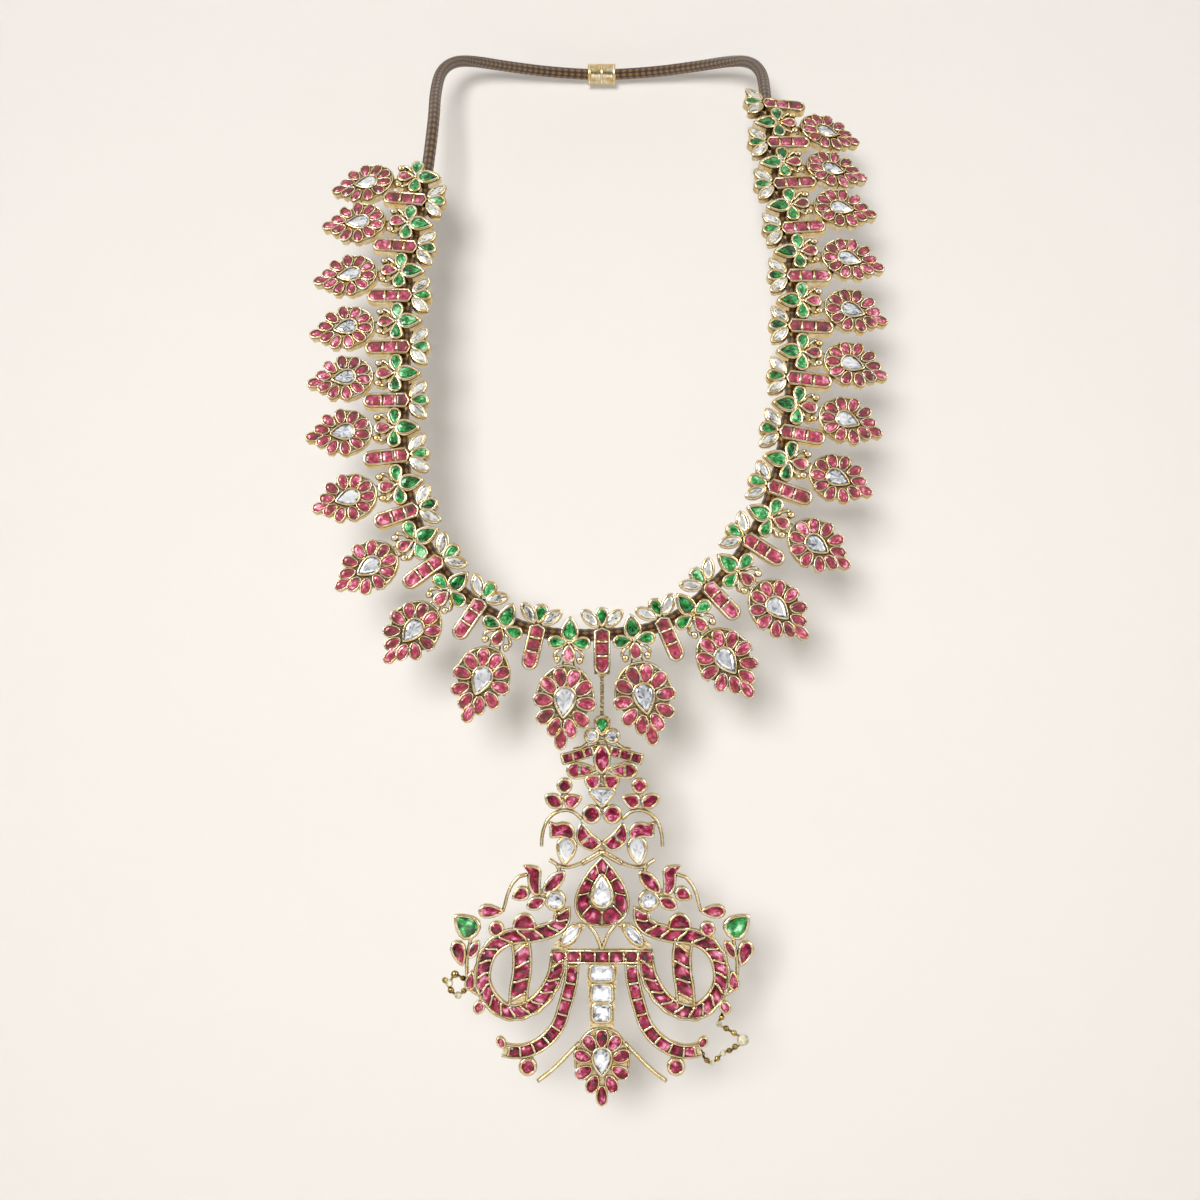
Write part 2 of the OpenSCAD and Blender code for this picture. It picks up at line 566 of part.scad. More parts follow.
// One side of the chain: side is 1 on +X and -1 on -X
module bars_on(side, count) {
    color("gold") for (i = [1 : count]) on_cord(link_s(side, i)) bar_link();
}
module bar_rubies_on(side, first, count) {
    color("crimson") for (i = [first : count]) on_cord(link_s(side, i)) bar_rubies();
}
module flowers_on(side, count) {
    color("gold") for (i = [1 : count]) on_cord(flower_s(side, i)) flower_link();
}
module flower_emeralds_on(side, count) {
    color("seagreen") for (i = [1 : count]) on_cord(flower_s(side, i)) flower_emerald();
}
module jump_rings_on(side, count) {
    color("gold") for (i = [1 : count]) jump_ring(side, i);
}
module drop_diamonds_on(side, count) {
    color("ghostwhite") for (i = [1 : count]) drop_diamond(side, i);
}

stringing_cord();
barrel_clasp();
middle_bar();
bars_on(1, right_flowers);  // bar_links_right
bars_on(-1, left_flowers - 1);  // bar_links_left
flowers_on(1, right_flowers);  // flower_links_right
flowers_on(-1, left_flowers);  // flower_links_left
bar_rubies_on(1, 0, right_flowers);  // bar_rubies_right
bar_rubies_on(-1, 1, left_flowers - 1);  // bar_rubies_left
flower_emeralds_on(1, right_flowers);  // flower_emeralds_right
flower_emeralds_on(-1, left_flowers);  // flower_emeralds_left
jump_rings_on(1, right_flowers);  // jump_rings_right
jump_rings_on(-1, left_flowers);  // jump_rings_left
drop_diamonds_on(1, right_flowers);  // drop_diamonds_right
drop_diamonds_on(-1, left_flowers);  // drop_diamonds_left
pendant_frame();
pendant_diamonds();
pendant_emeralds();
pendant_rubies();
pendant_ruby_rows();
for (i = RIGHT) color("gold") mango_drop(1, i);
for (i = LEFT) color("gold") mango_drop(-1, i);
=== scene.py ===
import bpy
import numpy as np
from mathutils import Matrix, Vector


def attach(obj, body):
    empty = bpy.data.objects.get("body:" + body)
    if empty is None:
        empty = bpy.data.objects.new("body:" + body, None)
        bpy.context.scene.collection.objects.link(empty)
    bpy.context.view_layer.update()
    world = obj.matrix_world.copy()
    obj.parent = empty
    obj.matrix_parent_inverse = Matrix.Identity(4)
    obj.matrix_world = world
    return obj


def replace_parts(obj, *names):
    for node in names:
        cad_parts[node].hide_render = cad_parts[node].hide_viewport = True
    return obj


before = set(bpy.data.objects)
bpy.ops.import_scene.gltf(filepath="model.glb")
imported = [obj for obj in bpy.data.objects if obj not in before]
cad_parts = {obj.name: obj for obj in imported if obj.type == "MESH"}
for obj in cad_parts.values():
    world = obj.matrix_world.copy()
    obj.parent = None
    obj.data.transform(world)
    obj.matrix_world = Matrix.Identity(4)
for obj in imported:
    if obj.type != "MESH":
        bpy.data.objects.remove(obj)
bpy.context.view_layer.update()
rng = np.random.default_rng(11)


# ---- Stringing cord ----
# A braided cord of brown cotton with gold thread, 4 mm thick, closed at the nape.
# Every link of the chain is strung on it through an eye behind its plate.
# Its route is the one that the links are placed on, from the middle bar up the +X side.
ROUTE = np.array([
    [0, -146.5, -200.5], [18, -146.5, -197.5], [33, -145.5, -186.5], [44.5, -143.5, -172.5],
    [52, -140.5, -156.5], [56, -136.5, -139.5], [58.5, -131, -122.5], [59.5, -124.5, -106],
    [59.5, -117.5, -90], [58.5, -110, -75], [56.5, -102, -61], [55, -92.5, -46.5],
    [54, -82.5, -32.5], [54, -71, -21], [53.5, -57, -12], [50.5, -42, -5.5],
    [44.5, -27, -2], [34, -12.5, -0.5], [20, -1.5, 0], [5, 3.6, 0],
    [-5, 3.6, 0], [-20, -1.5, 0], [-34, -12.5, -0.5], [-44.5, -27, -2],
    [-50.5, -42, -5.5], [-54, -57, -12], [-55, -71, -21.5], [-55, -84, -34],
    [-56, -94, -49.5], [-57.5, -103.5, -65], [-60, -111.5, -81], [-61, -119.5, -97.5],
    [-61, -126.5, -114], [-61, -133, -131], [-60.5, -138, -147.5], [-57, -142, -164.5],
    [-49, -144.5, -180], [-36, -146, -192.5], [-19, -146.5, -199.5]], float)
CORD_R = 2.0
BRAID_TURNS, BRAID_STRANDS, STRAND_RELIEF = 136, 4, 0.08
# High up the links lean outward: not at all below the height LEAN_FROM, and by the whole LEAN from LEAN_OVER above it
LEAN, LEAN_FROM, LEAN_OVER = 0.12, -140, 110
FULL_TURN = 6.2832  # radians
GOLD_THREAD = (0.30, 0.155, 0.04, 1)
BROWN_THREAD = (0.035, 0.015, 0.007, 1)


def between(a, b, c, d, f):
    """Catmull-Rom: the cubic in f from b at 0 to c at 1, whose slopes there are half of c - a and half of d - b."""
    return 0.5 * (2 * b + (c - a) * f + (2 * a - 5 * b + 4 * c - d) * f ** 2 + (3 * b - 3 * c + d - a) * f ** 3)


def closed_curve(points, u):
    """A closed Catmull-Rom curve through the points, at places u counted in points."""
    i = np.floor(u).astype(int)
    return between(*(points[(i + k) % len(points)] for k in (-1, 0, 1, 2)), (u - i)[:, None])


# The route at every quarter of a point, and the length of cord up to each place
FINE = closed_curve(ROUTE, np.arange(len(ROUTE) * 4 + 1) / 4.0)
ARC = np.concatenate([[0], np.cumsum(np.linalg.norm(np.diff(FINE, axis=0), axis=1))])


def cord_at(s):
    """The point of the cord's middle at the distance s along it, in mm, from the middle bar."""
    return np.stack([np.interp(np.mod(s, ARC[-1]), ARC, FINE[:, axis]) for axis in range(3)], -1)


def unit(v):
    """Each vector divided by its length."""
    return v / np.linalg.norm(v, axis=-1, keepdims=True)


def cord_frames(s):
    """Frames along the cord: x on it, measured over 6 mm but level at the middle bar, y into the loop, z to the viewer
    and a little outward high up, each at right angles to the others, then the place."""
    p = cord_at(s)
    t = np.where(np.abs(s)[:, None] < 1, [1.0, 0, 0], unit(cord_at(s + 3) - cord_at(s - 3)))
    high = np.clip((p[:, 2] - LEAN_FROM) / LEAN_OVER, 0, 1)
    n = np.stack([np.sign(np.round(p[:, 0], 6)) * LEAN * high, -np.ones(len(s)), np.zeros(len(s))], -1)
    n = unit(n - (n * t).sum(-1, keepdims=True) * t)
    return np.stack([t, np.cross(n, t), n, p], -1)


class Port:
    """An output of a shader node. The signs + - * ** add Math nodes, and a number may stand before a minus."""

    def __init__(self, finish, socket):
        self.finish, self.socket = finish, socket

    def reckon(self, how, first, second):
        return self.finish.node("ShaderNodeMath", {"operation": how}, {0: first, 1: second})

    def __add__(self, other): return self.reckon("ADD", self, other)
    def __sub__(self, other): return self.reckon("SUBTRACT", self, other)
    def __mul__(self, other): return self.reckon("MULTIPLY", self, other)
    def __pow__(self, other): return self.reckon("POWER", self, other)
    def __rsub__(self, other): return self.reckon("SUBTRACT", other, self)

    def sine(self): return self.reckon("SINE", self, 0.0)
    def size(self): return self.reckon("ABSOLUTE", self, 0.0)
    def above(self, level): return self.reckon("GREATER_THAN", self, level)


class Finish:
    """A material. node() adds one node of any type: its settings first, then values or ports for its sockets."""

    def __init__(self, name, **fixed):
        self.material = bpy.data.materials.new(name)
        self.material.use_nodes = True
        self.tree = self.material.node_tree
        self.shader = self.tree.nodes["Principled BSDF"]
        for socket, value in fixed.items():
            self.shader.inputs[socket.replace("_", " ")].default_value = value

    def node(self, kind, settings, sockets, output=0):
        made = self.tree.nodes.new(kind)
        for key, value in settings.items():
            if key == "stops":
                for _ in value[2:]:
                    made.color_ramp.elements.new(0.5)
                for element, (place, colour) in zip(made.color_ramp.elements, value):
                    element.position, element.color = place, colour
            else:
                setattr(made, key, value)
        for key, value in sockets.items():
            self.feed(made.inputs[key], value)
        return Port(self, made.outputs[output])

    def feed(self, socket, value):
        if isinstance(value, Port):
            self.tree.links.new(value.socket, socket)
        else:
            socket.default_value = value

    def mixed(self, share, low, high):
        """The low colour where share is 0, the high one where it is 1."""
        return self.node("ShaderNodeMix", {"data_type": "RGBA"}, {0: share, 6: low, 7: high}, 2)

    def ramp(self, share, *stops):
        """Colours picked by share from stops, each a place and a colour."""
        return self.node("ShaderNodeValToRGB", {"stops": stops}, {0: share})

    def stored(self, name):
        """A value that the mesh holds for each corner or face."""
        return self.node("ShaderNodeAttribute", {"attribute_name": name}, {}, "Fac")

    def where(self, what="Object"):
        return self.node("ShaderNodeTexCoord", {}, {}, what)

    def part(self, vector, axis):
        return self.node("ShaderNodeSeparateXYZ", {}, {0: vector}, axis)

    def noise(self, scale, detail=2.0):
        """Uneven values about 0.5 that change some scale times in a metre."""
        return self.node("ShaderNodeTexNoise", {}, {"Vector": self.where(), "Scale": scale, "Detail": detail}, "Fac")

    def crease(self, reach):
        """1 in the open, and less the more other surfaces stand close round, within reach in m. The finishes paint
        shade by it.
        """
        return self.node("ShaderNodeAmbientOcclusion", {"samples": 4}, {"Distance": reach}, "AO")

    def dress(self, colour, rough=None, relief=None, strength=0.3):
        """The material with its colour, roughness and a relief some 0.2 mm deep."""
        self.feed(self.shader.inputs["Base Color"], colour)
        if rough is not None:
            self.feed(self.shader.inputs["Roughness"], rough)
        if relief is not None:
            bump = self.node("ShaderNodeBump", {}, {"Strength": strength, "Distance": 0.0002, "Height": relief})
            self.feed(self.shader.inputs["Normal"], bump)
        return self.material


def piece(name, corners, faces, material, body="chain", slot="gold", smooth=True, **stored):
    """A mesh from corners in mm and rows of corner numbers, -1 where a face has only three, with stored values."""
    mesh = bpy.data.meshes.new(name)
    mesh.from_pydata((corners * 0.001).tolist(), [], [[c for c in row if c >= 0] for row in faces.tolist()])
    for key, values in stored.items():
        where = "POINT" if len(values) == len(corners) else "FACE"
        mesh.attributes.new(key, "FLOAT", where).data.foreach_set("value", np.asarray(values, np.float32))
    mesh.polygons.foreach_set("use_smooth", np.full(len(faces), smooth))
    mesh.materials.append(material)
    made = bpy.data.objects.new(name, mesh)
    bpy.context.scene.collection.objects.link(made)
    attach(made, body)
    return made


def grid_faces(rows, columns, closed_rows=False, closed_columns=True):
    """Four-cornered faces of a grid of corners, row after row. A closed side joins its last line to its first."""
    r = np.arange(rows if closed_rows else rows - 1)[:, None]
    c = np.arange(columns if closed_columns else columns - 1)[None]
    r2, c2 = (r + 1) % rows, (c + 1) % columns
    return np.stack([r * columns + c, r * columns + c2, r2 * columns + c2, r2 * columns + c], -1).reshape(-1, 4)


braid = Finish("braided_thread", Roughness=0.6, Sheen_Weight=0.2)
lie = braid.node("ShaderNodeUVMap", {"uv_map": "braid"}, {})
turns, rise = braid.part(lie, "X"), braid.part(lie, "Y")
one_way = ((turns * BRAID_STRANDS + rise) * FULL_TURN).sine()
other_way = ((turns * BRAID_STRANDS - rise) * FULL_TURN).sine()
fibre = ((turns * 24 + rise * 11) * FULL_TURN).sine() * 0.5 + 0.5
glint = (one_way * other_way).above(0.1) * (fibre * 0.5 + 0.5)
braid.dress(braid.mixed(glint, BROWN_THREAD, GOLD_THREAD), relief=fibre, strength=0.6)

# The surface is a tube whose radius swells where two strands of opposite turn cross: it goes as the sines of
# their two phases, multiplied.
rows, sides = 1360, 24
s = ARC[-1] * np.arange(rows) / rows
at = cord_frames(s)
angle = 2 * np.pi * np.arange(sides) / sides
phase = 2 * np.pi * BRAID_TURNS * s[:, None] / ARC[-1]
twist = np.sin(BRAID_STRANDS * angle + phase) * np.sin(BRAID_STRANDS * angle - phase)
radius = CORD_R * (1 - STRAND_RELIEF + STRAND_RELIEF * np.abs(twist) ** 0.6)
ring = radius[..., None] * (np.cos(angle)[:, None] * at[:, None, :, 2] + np.sin(angle)[:, None] * at[:, None, :, 1])
faces = grid_faces(rows, sides, closed_rows=True)[:, ::-1]
cord = piece("cord_braid", (at[:, None, :, 3] + ring).reshape(-1, 3), faces, braid.material, slot="cord")
spot = np.stack(np.meshgrid(np.arange(sides), np.arange(rows)), -1).reshape(-1, 1, 2)
spot = (spot + np.array([[0, 0], [1, 0], [1, 1], [0, 1]])[::-1]) / [sides, rows / BRAID_TURNS]
cord.data.uv_layers.new(name="braid").data.foreach_set("uv", spot.reshape(-1).astype(np.float32))
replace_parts(cord, "stringing_cord")


# ---- Gold plates ----
# Pale yellow gold of high carat, worked by hand, with the soft unevenness that burnishing leaves.
# Painted highlights on what stands up, painted shade in the recesses and where parts stand close, and on the plates
# painted shade down the sides.
GOLD = (0.86, 0.58, 0.19, 1)
GOLD_PALE = (1.0, 0.93, 0.70, 1)
# The colour of the painted shade in recesses and where parts stand close
GOLD_PAINTED_SHADE = (0.07, 0.032, 0.009, 1)


def gold_finish(name, crest, deep=GOLD, pale=GOLD_PALE):
    """Gold that goes from its painted shade to its own uneven tones with the share of painted sheen and shade that the
    given function makes from the finish, darkened further as painted shade where other surfaces stand close.
    """
    gold = Finish(name, Metallic=1.0, Specular_Tint=(1.0, 0.82, 0.5, 1))
    patina = gold.noise(420, 3.0)
    rubbed = gold.mixed(patina * 2.4 - 0.65, deep, pale)
    # Painted shade: the sheen share times the square of the crease picks between the shade colour and the gold's own
    # tones
    colour = gold.mixed(crest(gold) * gold.crease(0.001) ** 2, GOLD_PAINTED_SHADE, rubbed)
    return gold.dress(colour, rough=patina * 0.16 + 0.12, relief=gold.noise(1300), strength=0.55)


def painted_front_light(gold):
    """Painted light for the plates: uneven, brightest on the faces that look to the front or back and shaded on the
    sides; it goes with the size of the normal's y.
    """
    return gold.part(gold.where("Normal"), "Y").size() * 0.3 + gold.noise(900) * 0.6 + 0.3


rim_gold = gold_finish("rim_gold_with_painted_sheen", lambda gold: gold.stored("crest"))
plate_gold = gold_finish("plate_gold", painted_front_light)
for name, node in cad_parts.items():  # every solid that isn't of stone or cord
    if not any(word in name for word in ("rubies", "emeralds", "diamonds", "cord", "ruby")):
        node.data.materials.clear()
        node.data.materials.append(plate_gold)


# ---- Settings and stones ----
# Each stone lies in a closed gold box whose wall is rubbed over its edge all round.
# Stones are cut flat, with rows of soft facets about a table, over bright foil.
# A link's plate is 2.6 mm thick, and its eye holds its back 2.4 mm before the cord's middle.
PLATE_T, LIFT = 2.6, 2.4
FRONT = LIFT + PLATE_T


def oval(length, width, count=14):
    """An ellipse, clockwise from +y."""
    a = 2 * np.pi * np.arange(count) / count
    return np.stack([width / 2 * np.sin(a), length / 2 * np.cos(a)], -1)


def pear(length, width, count=14):
    """A drop with its tip at +y: the width goes as sin(a) sin(a/2)."""
    a = 2 * np.pi * np.arange(count) / count
    return np.stack([width / 2 * np.sin(a) * np.sin(a / 2) / 0.77, length / 2 * np.cos(a)], -1)


def petal(length, width, count=12):
    """A rounded petal, narrower at +y: the width goes as sin(a) (1 - 0.22 cos(a))."""
    a = 2 * np.pi * np.arange(count) / count
    return np.stack([width / 2 * np.sin(a) * (1 - 0.22 * np.cos(a)), length / 2 * np.cos(a)], -1)


def leaf(length, width, count=14):
    """A pointed leaf with tips at both ends: the width goes as sin(a) to the power 1.5."""
    a = 2 * np.pi * np.arange(count) / count
    return np.stack([width / 2 * np.sin(a) * np.abs(np.sin(a)) ** 0.5, length / 2 * np.cos(a)], -1)


def cushion(length, width, count=16):
    """A square with rounded corners: both coordinates go as sine and cosine to the power 0.45."""
    a = 2 * np.pi * np.arange(count) / count
    x, y = np.sin(a), np.cos(a)
    return np.stack([width / 2 * np.sign(x) * np.abs(x) ** 0.45, length / 2 * np.sign(y) * np.abs(y) ** 0.45], -1)


def dome(length, width, count=14):
    """A half-round with its flat side at -y: a half ellipse, and a straight line back in two steps."""
    a = np.pi * (np.arange(count - 1) / (count - 2) - 0.5)
    arch = np.stack([width / 2 * np.sin(a), length * np.cos(a) - length / 2], -1)
    return np.concatenate([arch, [[0, -length / 2]]])


def placed(outline, x, y, turn=0.0):
    """The outline turned anticlockwise by turn degrees and moved to x, y."""
    c, s = np.cos(np.radians(turn)), np.sin(np.radians(turn))
    return outline @ np.array([[c, s], [-s, c]]) + [x, y]


def grown(outline, by):
    """The outline moved outward by a distance, along the normal at each of its points."""
    along = np.roll(outline, -1, axis=0) - np.roll(outline, 1, axis=0)
    return outline + by * unit(np.stack([-along[:, 1], along[:, 0]], -1) + 1e-12)


def smooth_loop(points, steps=3):
    """An outline through the points, rounded, with so many steps from each to the next."""
    return closed_curve(np.asarray(points, float), np.arange(len(points) * steps) / steps)


def six_sided_ends(last):
    """Two four-cornered faces over each end of a bar of six-cornered rings, where the last ring starts at last."""
    near = np.array([[5, 2, 1, 0], [5, 4, 3, 2]])
    return np.concatenate([near, [[last, last + 1, last + 2, last + 5], [last + 2, last + 3, last + 4, last + 5]]])


class Work:
    """Patches gathered for one piece: corners in mm, faces, a share of painted sheen and shade for each corner, which
    is 1 for a painted highlight on what stands up and 0 for painted shade in a recess, and the patch's number for each
    face."""

    def __init__(self):
        self.corners, self.faces, self.crest, self.patch = [], [], [], []
        self.count = self.patches = 0

    def add(self, corners, faces, crest=0.0):
        self.corners.append(corners)
        self.faces.append(np.where(faces < 0, -1, faces + self.count))
        self.crest.append(np.broadcast_to(crest, len(corners)))
        self.patch.append(np.full(len(faces), self.patches))
        self.count += len(corners)
        self.patches += 1

    def rim(self, outline, wall, height=0.5, base=FRONT):
        """A setting's wall: a closed profile of six points, up the outside, over a round top and down to the stone.
        Each is a distance outward, a height as a share of the wall's, and a share of painted sheen: highlight on top,
        shade at the feet."""
        profile = [(wall - 0.02, -0.3, 0), (wall - 0.02, 0.35, 0.35), (wall * 0.74, 0.86, 1), (wall * 0.2, 1, 1),
                   (-0.08, 0.84, 0.7), (-0.2, -0.3, 0.0)]
        rings = [np.column_stack([grown(outline, out), np.full(len(outline), base + (up if up < 0 else up * height))])
                 for out, up, _ in profile]
        self.add(np.concatenate(rings), grid_faces(len(rings), len(outline), closed_rows=True)[:, ::-1],
                 np.repeat([crest for *_, crest in profile], len(outline)))

    def stone(self, outline, rise=0.25, girdle=0.3, table=0.62, base=FRONT):
        """A flat-cut stone: foot, girdle, two rows of crown facets that narrow to the table, and a point at each
        middle. Each level is a share of the outline and a height."""
        middle = outline.mean(axis=0)
        levels = [(1.0, -0.5), (1.0, girdle), ((1 + table) / 2, girdle + rise * 0.65), (table, girdle + rise)]
        edge = grown(outline, -0.06)
        rings = [np.column_stack([middle + (edge - middle) * k, np.full(len(edge), base + z)]) for k, z in levels]
        n = len(outline)
        poles = [[*middle, base + girdle + rise * 1.12], [*middle, base - 0.5]]
        i = np.arange(n)
        j = (i + 1) % n
        none = np.full(n, -1)
        top = np.stack([3 * n + i, np.full(n, 4 * n), 3 * n + j, none], -1)
        foot = np.stack([i, j, np.full(n, 4 * n + 1), none], -1)
        self.add(np.concatenate(rings + [poles]), np.concatenate([grid_faces(4, n)[:, ::-1], top, foot]))

    def ridge(self, path, width, height=0.45, base=FRONT, closed=False):
        """A half-round wire along a path of points x, y, with a flat foot: five steps across, highest in the middle."""
        path = np.asarray(path, float)
        along = np.roll(path, -1, axis=0) - np.roll(path, 1, axis=0) if closed else np.gradient(path, axis=0)
        side = unit(np.stack([-along[:, 1], along[:, 0]], -1))
        a = np.linspace(0, np.pi, 6)
        out = side[:, None] * (np.cos(a) * np.broadcast_to(width, len(path))[:, None] / 2)[..., None]
        up = np.broadcast_to((np.sin(a) * height - 0.15)[None, :, None], (len(path), 6, 1))
        corners = np.concatenate([path[:, None] + out, base + up], -1).reshape(-1, 3)
        faces = grid_faces(len(path), 6, closed_rows=closed)
        if not closed:
            faces = np.concatenate([faces, six_sided_ends(6 * (len(path) - 1))])
        # Painted highlight along the wire's top and painted shade at its foot
        self.add(corners, faces, np.tile([0, 0.45, 1, 1, 0.45, 0], len(path)))

    def ball(self, x, y, wide, deep=None, high=None, base=FRONT, sides=10, lines=6, low=-0.5):
        """A boss, bead or pearl: an ellipsoid on rings at equal steps of tilt, from the low one to its pole, and closed
        below."""
        deep, high = deep or wide, high or wide * 0.8
        a = 2 * np.pi * np.arange(sides) / sides
        rings = [np.column_stack([x + wide * np.cos(t) * np.sin(a), y + deep * np.cos(t) * np.cos(a),
                                  np.full(sides, base + high * np.sin(t))])
                 for t in np.linspace(low, np.pi / 2, lines)[:-1]]
        n = sides * (lines - 1)
        i = np.arange(sides)
        j = (i + 1) % sides
        none = np.full(sides, -1)
        top = np.stack([n - sides + i, np.full(sides, n), n - sides + j, none], -1)
        foot = np.stack([i, j, np.full(sides, n + 1), none], -1)
        poles = [[x, y, base + high], [x, y, base + high * np.sin(low)]]
        # Painted shade below and a painted highlight towards the top: 0.3 on the lowest ring up to 1, and 0 at the low
        # pole
        self.add(np.concatenate(rings + [poles]), np.concatenate([grid_faces(lines - 1, sides)[:, ::-1], top, foot]),
                 np.concatenate([np.repeat(np.linspace(0.3, 1, lines - 1), sides), [1, 0]]))

    def laid(self, frames, sizes=None):
        """Every patch repeated at each frame: corners, faces, shares of painted sheen and shade, and a fresh tone for
        each stone.
        """
        corners, faces = np.concatenate(self.corners), np.concatenate(self.faces)
        crest, patch = np.concatenate(self.crest), np.concatenate(self.patch)
        many = len(frames)
        local = np.repeat(corners[None], many, axis=0)
        if sizes is not None:
            local = local * np.stack([sizes, sizes, np.ones(many)], -1)[:, None]
        laid = np.einsum("nij,nvj->nvi", frames[:, :, :3], local) + frames[:, None, :, 3]
        shift = (np.arange(many) * len(corners))[:, None, None]
        rows = np.where(faces[None] < 0, -1, faces[None] + shift).reshape(-1, 4)
        tone = rng.random((many, self.patches))[:, patch].reshape(-1)
        return laid.reshape(-1, 3), rows, np.tile(crest, many), tone


def gold_piece(name, work, frames, sizes=None, body="chain", finish=rim_gold):
    """Gold work repeated at the frames, with its painted sheen and shade stored for the finish."""
    corners, faces, crest, _ = work.laid(frames, sizes)
    return piece(name, corners, faces, finish, body, crest=crest)


def gem_piece(name, work, frames, finish, slot, sizes=None, body="chain"):
    """Stones repeated at the frames, with flat facets: each stone's tone and each facet's random share of painted
    reflection are stored.
    """
    corners, faces, _, tone = work.laid(frames, sizes)
    return piece(name, corners, faces, finish, body, slot, smooth=False, tone=tone, facet=rng.random(len(faces)))


def stone_finish(name, colours, rough, metal, ior, cloud_scale, by_facet, by_cloud):
    """A foil-backed stone. Its own tone, each facet's random share of painted reflection and clouds inside it, partly
    inclusions and partly painted reflection, pick from deep to bright colours, and painted shade deepens it where a rim
    stands close."""
    gem = Finish(name, Roughness=rough, Metallic=metal, IOR=ior, Coat_Weight=0.4, Coat_Roughness=0.04)
    cloud = gem.noise(cloud_scale)
    # The facet values paint each facet's reflection of the foil lighter or darker
    share = gem.stored("tone") * 0.34 + gem.stored("facet") * by_facet + (cloud - 0.5) * by_cloud + 0.36 - by_facet / 2
    # Painted shade where a rim stands close round the stone
    share = share - (1 - gem.crease(0.0009)) * 0.7
    return gem.dress(gem.ramp(share, *colours))


def ruby_stops(depth, veil):
    """Ruby colours from deep to bright, times depth, plus the veil of fine wear that makes rubbed stones paler."""
    tones = [(0.0, (0.035, 0.001, 0.004)), (0.26, (0.125, 0.002, 0.015)), (0.56, (0.30, 0.007, 0.043)),
             (0.80, (0.48, 0.050, 0.13)), (1.0, (0.78, 0.32, 0.46))]
    return [(place, (*(depth * part + film for part, film in zip(colour, veil)), 1)) for place, colour in tones]


# The chain's rubies are worn and paler, the pendant's are deep.
ruby = stone_finish("rubbed_ruby", ruby_stops(1.0, (0.05, 0.034, 0.026)),
                    rough=0.17, metal=0.2, ior=1.55, cloud_scale=350, by_facet=0.5, by_cloud=1.9)
deep_ruby = stone_finish("deep_ruby", ruby_stops(0.88, (0.0, 0.0, 0.0)),
                         rough=0.17, metal=0.2, ior=1.5, cloud_scale=350, by_facet=0.5, by_cloud=2.3)
emerald = stone_finish("foiled_emerald", [
    (0.0, (0.002, 0.014, 0.003, 1)), (0.26, (0.006, 0.062, 0.010, 1)), (0.54, (0.015, 0.22, 0.040, 1)),
    (0.80, (0.07, 0.42, 0.12, 1)), (1.0, (0.42, 0.74, 0.48, 1))],
    rough=0.15, metal=0.2, ior=1.6, cloud_scale=350, by_facet=0.5, by_cloud=1.8)
# The diamonds' greys and whites, picked by facet and cloud, are painted reflections
diamond = stone_finish("flat_cut_diamond", [
    (0.0, (0.11, 0.12, 0.14, 1)), (0.14, (0.34, 0.37, 0.41, 1)), (0.36, (0.62, 0.65, 0.70, 1)),
    (0.64, (0.86, 0.88, 0.92, 1)), (1.0, (0.98, 0.98, 1.0, 1))],
    rough=0.09, metal=0.5, ior=2.0, cloud_scale=500, by_facet=0.85, by_cloud=1.1)
champagne = stone_finish("champagne_diamond", [
    (0.0, (0.12, 0.11, 0.09, 1)), (0.14, (0.36, 0.35, 0.31, 1)), (0.36, (0.66, 0.65, 0.60, 1)),
    (0.66, (0.87, 0.86, 0.82, 1)), (1.0, (0.98, 0.98, 0.96, 1))],
    rough=0.11, metal=0.5, ior=2.0, cloud_scale=500, by_facet=0.85, by_cloud=1.1)


# ---- Bar links ----
# A narrow gold bar of three window rubies under a trefoil of one emerald between two diamond leaves.
# One hangs from the cord between every two flowers, and the middle one carries the pendant.
PITCH = 17.9  # of cord from one bar to the next
RIGHT, LEFT = 12, 11  # flower links on the +X and the -X side


def link_s(side, i):
    """Distance of link i along the cord: an even pitch, and the little that it has slid. A flower's i ends in .5."""
    slid = np.where(side > 0, np.interp(i, [0, 1, 2, 3, 4, 6, 12], [0, 0.8, 0.4, 1.2, 1.4, 0.6, -1]),
                    np.interp(i, [0, 0.5, 1.5, 2.5, 3.5, 4.5, 6, 12], [0, 0.8, 2.6, 3.2, 2.9, 2.1, 1.5, 1.5]))
    return side * (i * PITCH + slid)


# A bar's width, how far it reaches out from the cord, and how far into the loop its trefoil is joined
BAR_W, BAR_REACH, JUNCTION = 5.0, 11.9, 2.4
BAR_WALL = 0.95
a = np.radians(np.arange(9) * 22.5)
bar_edge = np.concatenate([[[BAR_W / 2, JUNCTION - 1.2]], np.stack([
    BAR_W / 2 * np.cos(a), -BAR_REACH + BAR_W / 2 - BAR_W / 2 * np.sin(a)], -1),
    [[-BAR_W / 2, JUNCTION - 1.2], [0, JUNCTION + 0.2]]])
top_window = np.array([[0, 1.9], [1.75, 1.0], [1.85, 0], [1.8, -1.6],
                       [0, -1.65], [-1.8, -1.6], [-1.85, 0], [-1.75, 1.0]])
end_window = np.array([[0, 2.1], [1.75, 2.0], [1.85, 0], [1.6, -1.3], [0.9, -2.1], [0, -2.4], [-0.9, -2.1],
                       [-1.6, -1.3], [-1.85, 0], [-1.75, 2.0]])
bar_gold, bar_ruby, trefoil_emerald, trefoil_diamond = Work(), Work(), Work(), Work()
bar_gold.ridge(grown(bar_edge, -0.46), BAR_WALL, 0.55, closed=True)
for y in (-2.0, -6.3):
    bar_gold.ridge([[2.0, y], [0, y], [-2.0, y]], BAR_WALL, 0.5)
for y, shape in ((-0.1, top_window), (-4.15, cushion(3.4, 3.7)), (-8.6, end_window)):
    bar_ruby.stone(placed(shape, 0, y), rise=0.22, girdle=0.12, table=0.6)
centre_pear = placed(-pear(4.6, 2.8), 0, JUNCTION + 3)
bar_gold.rim(centre_pear, 0.8)
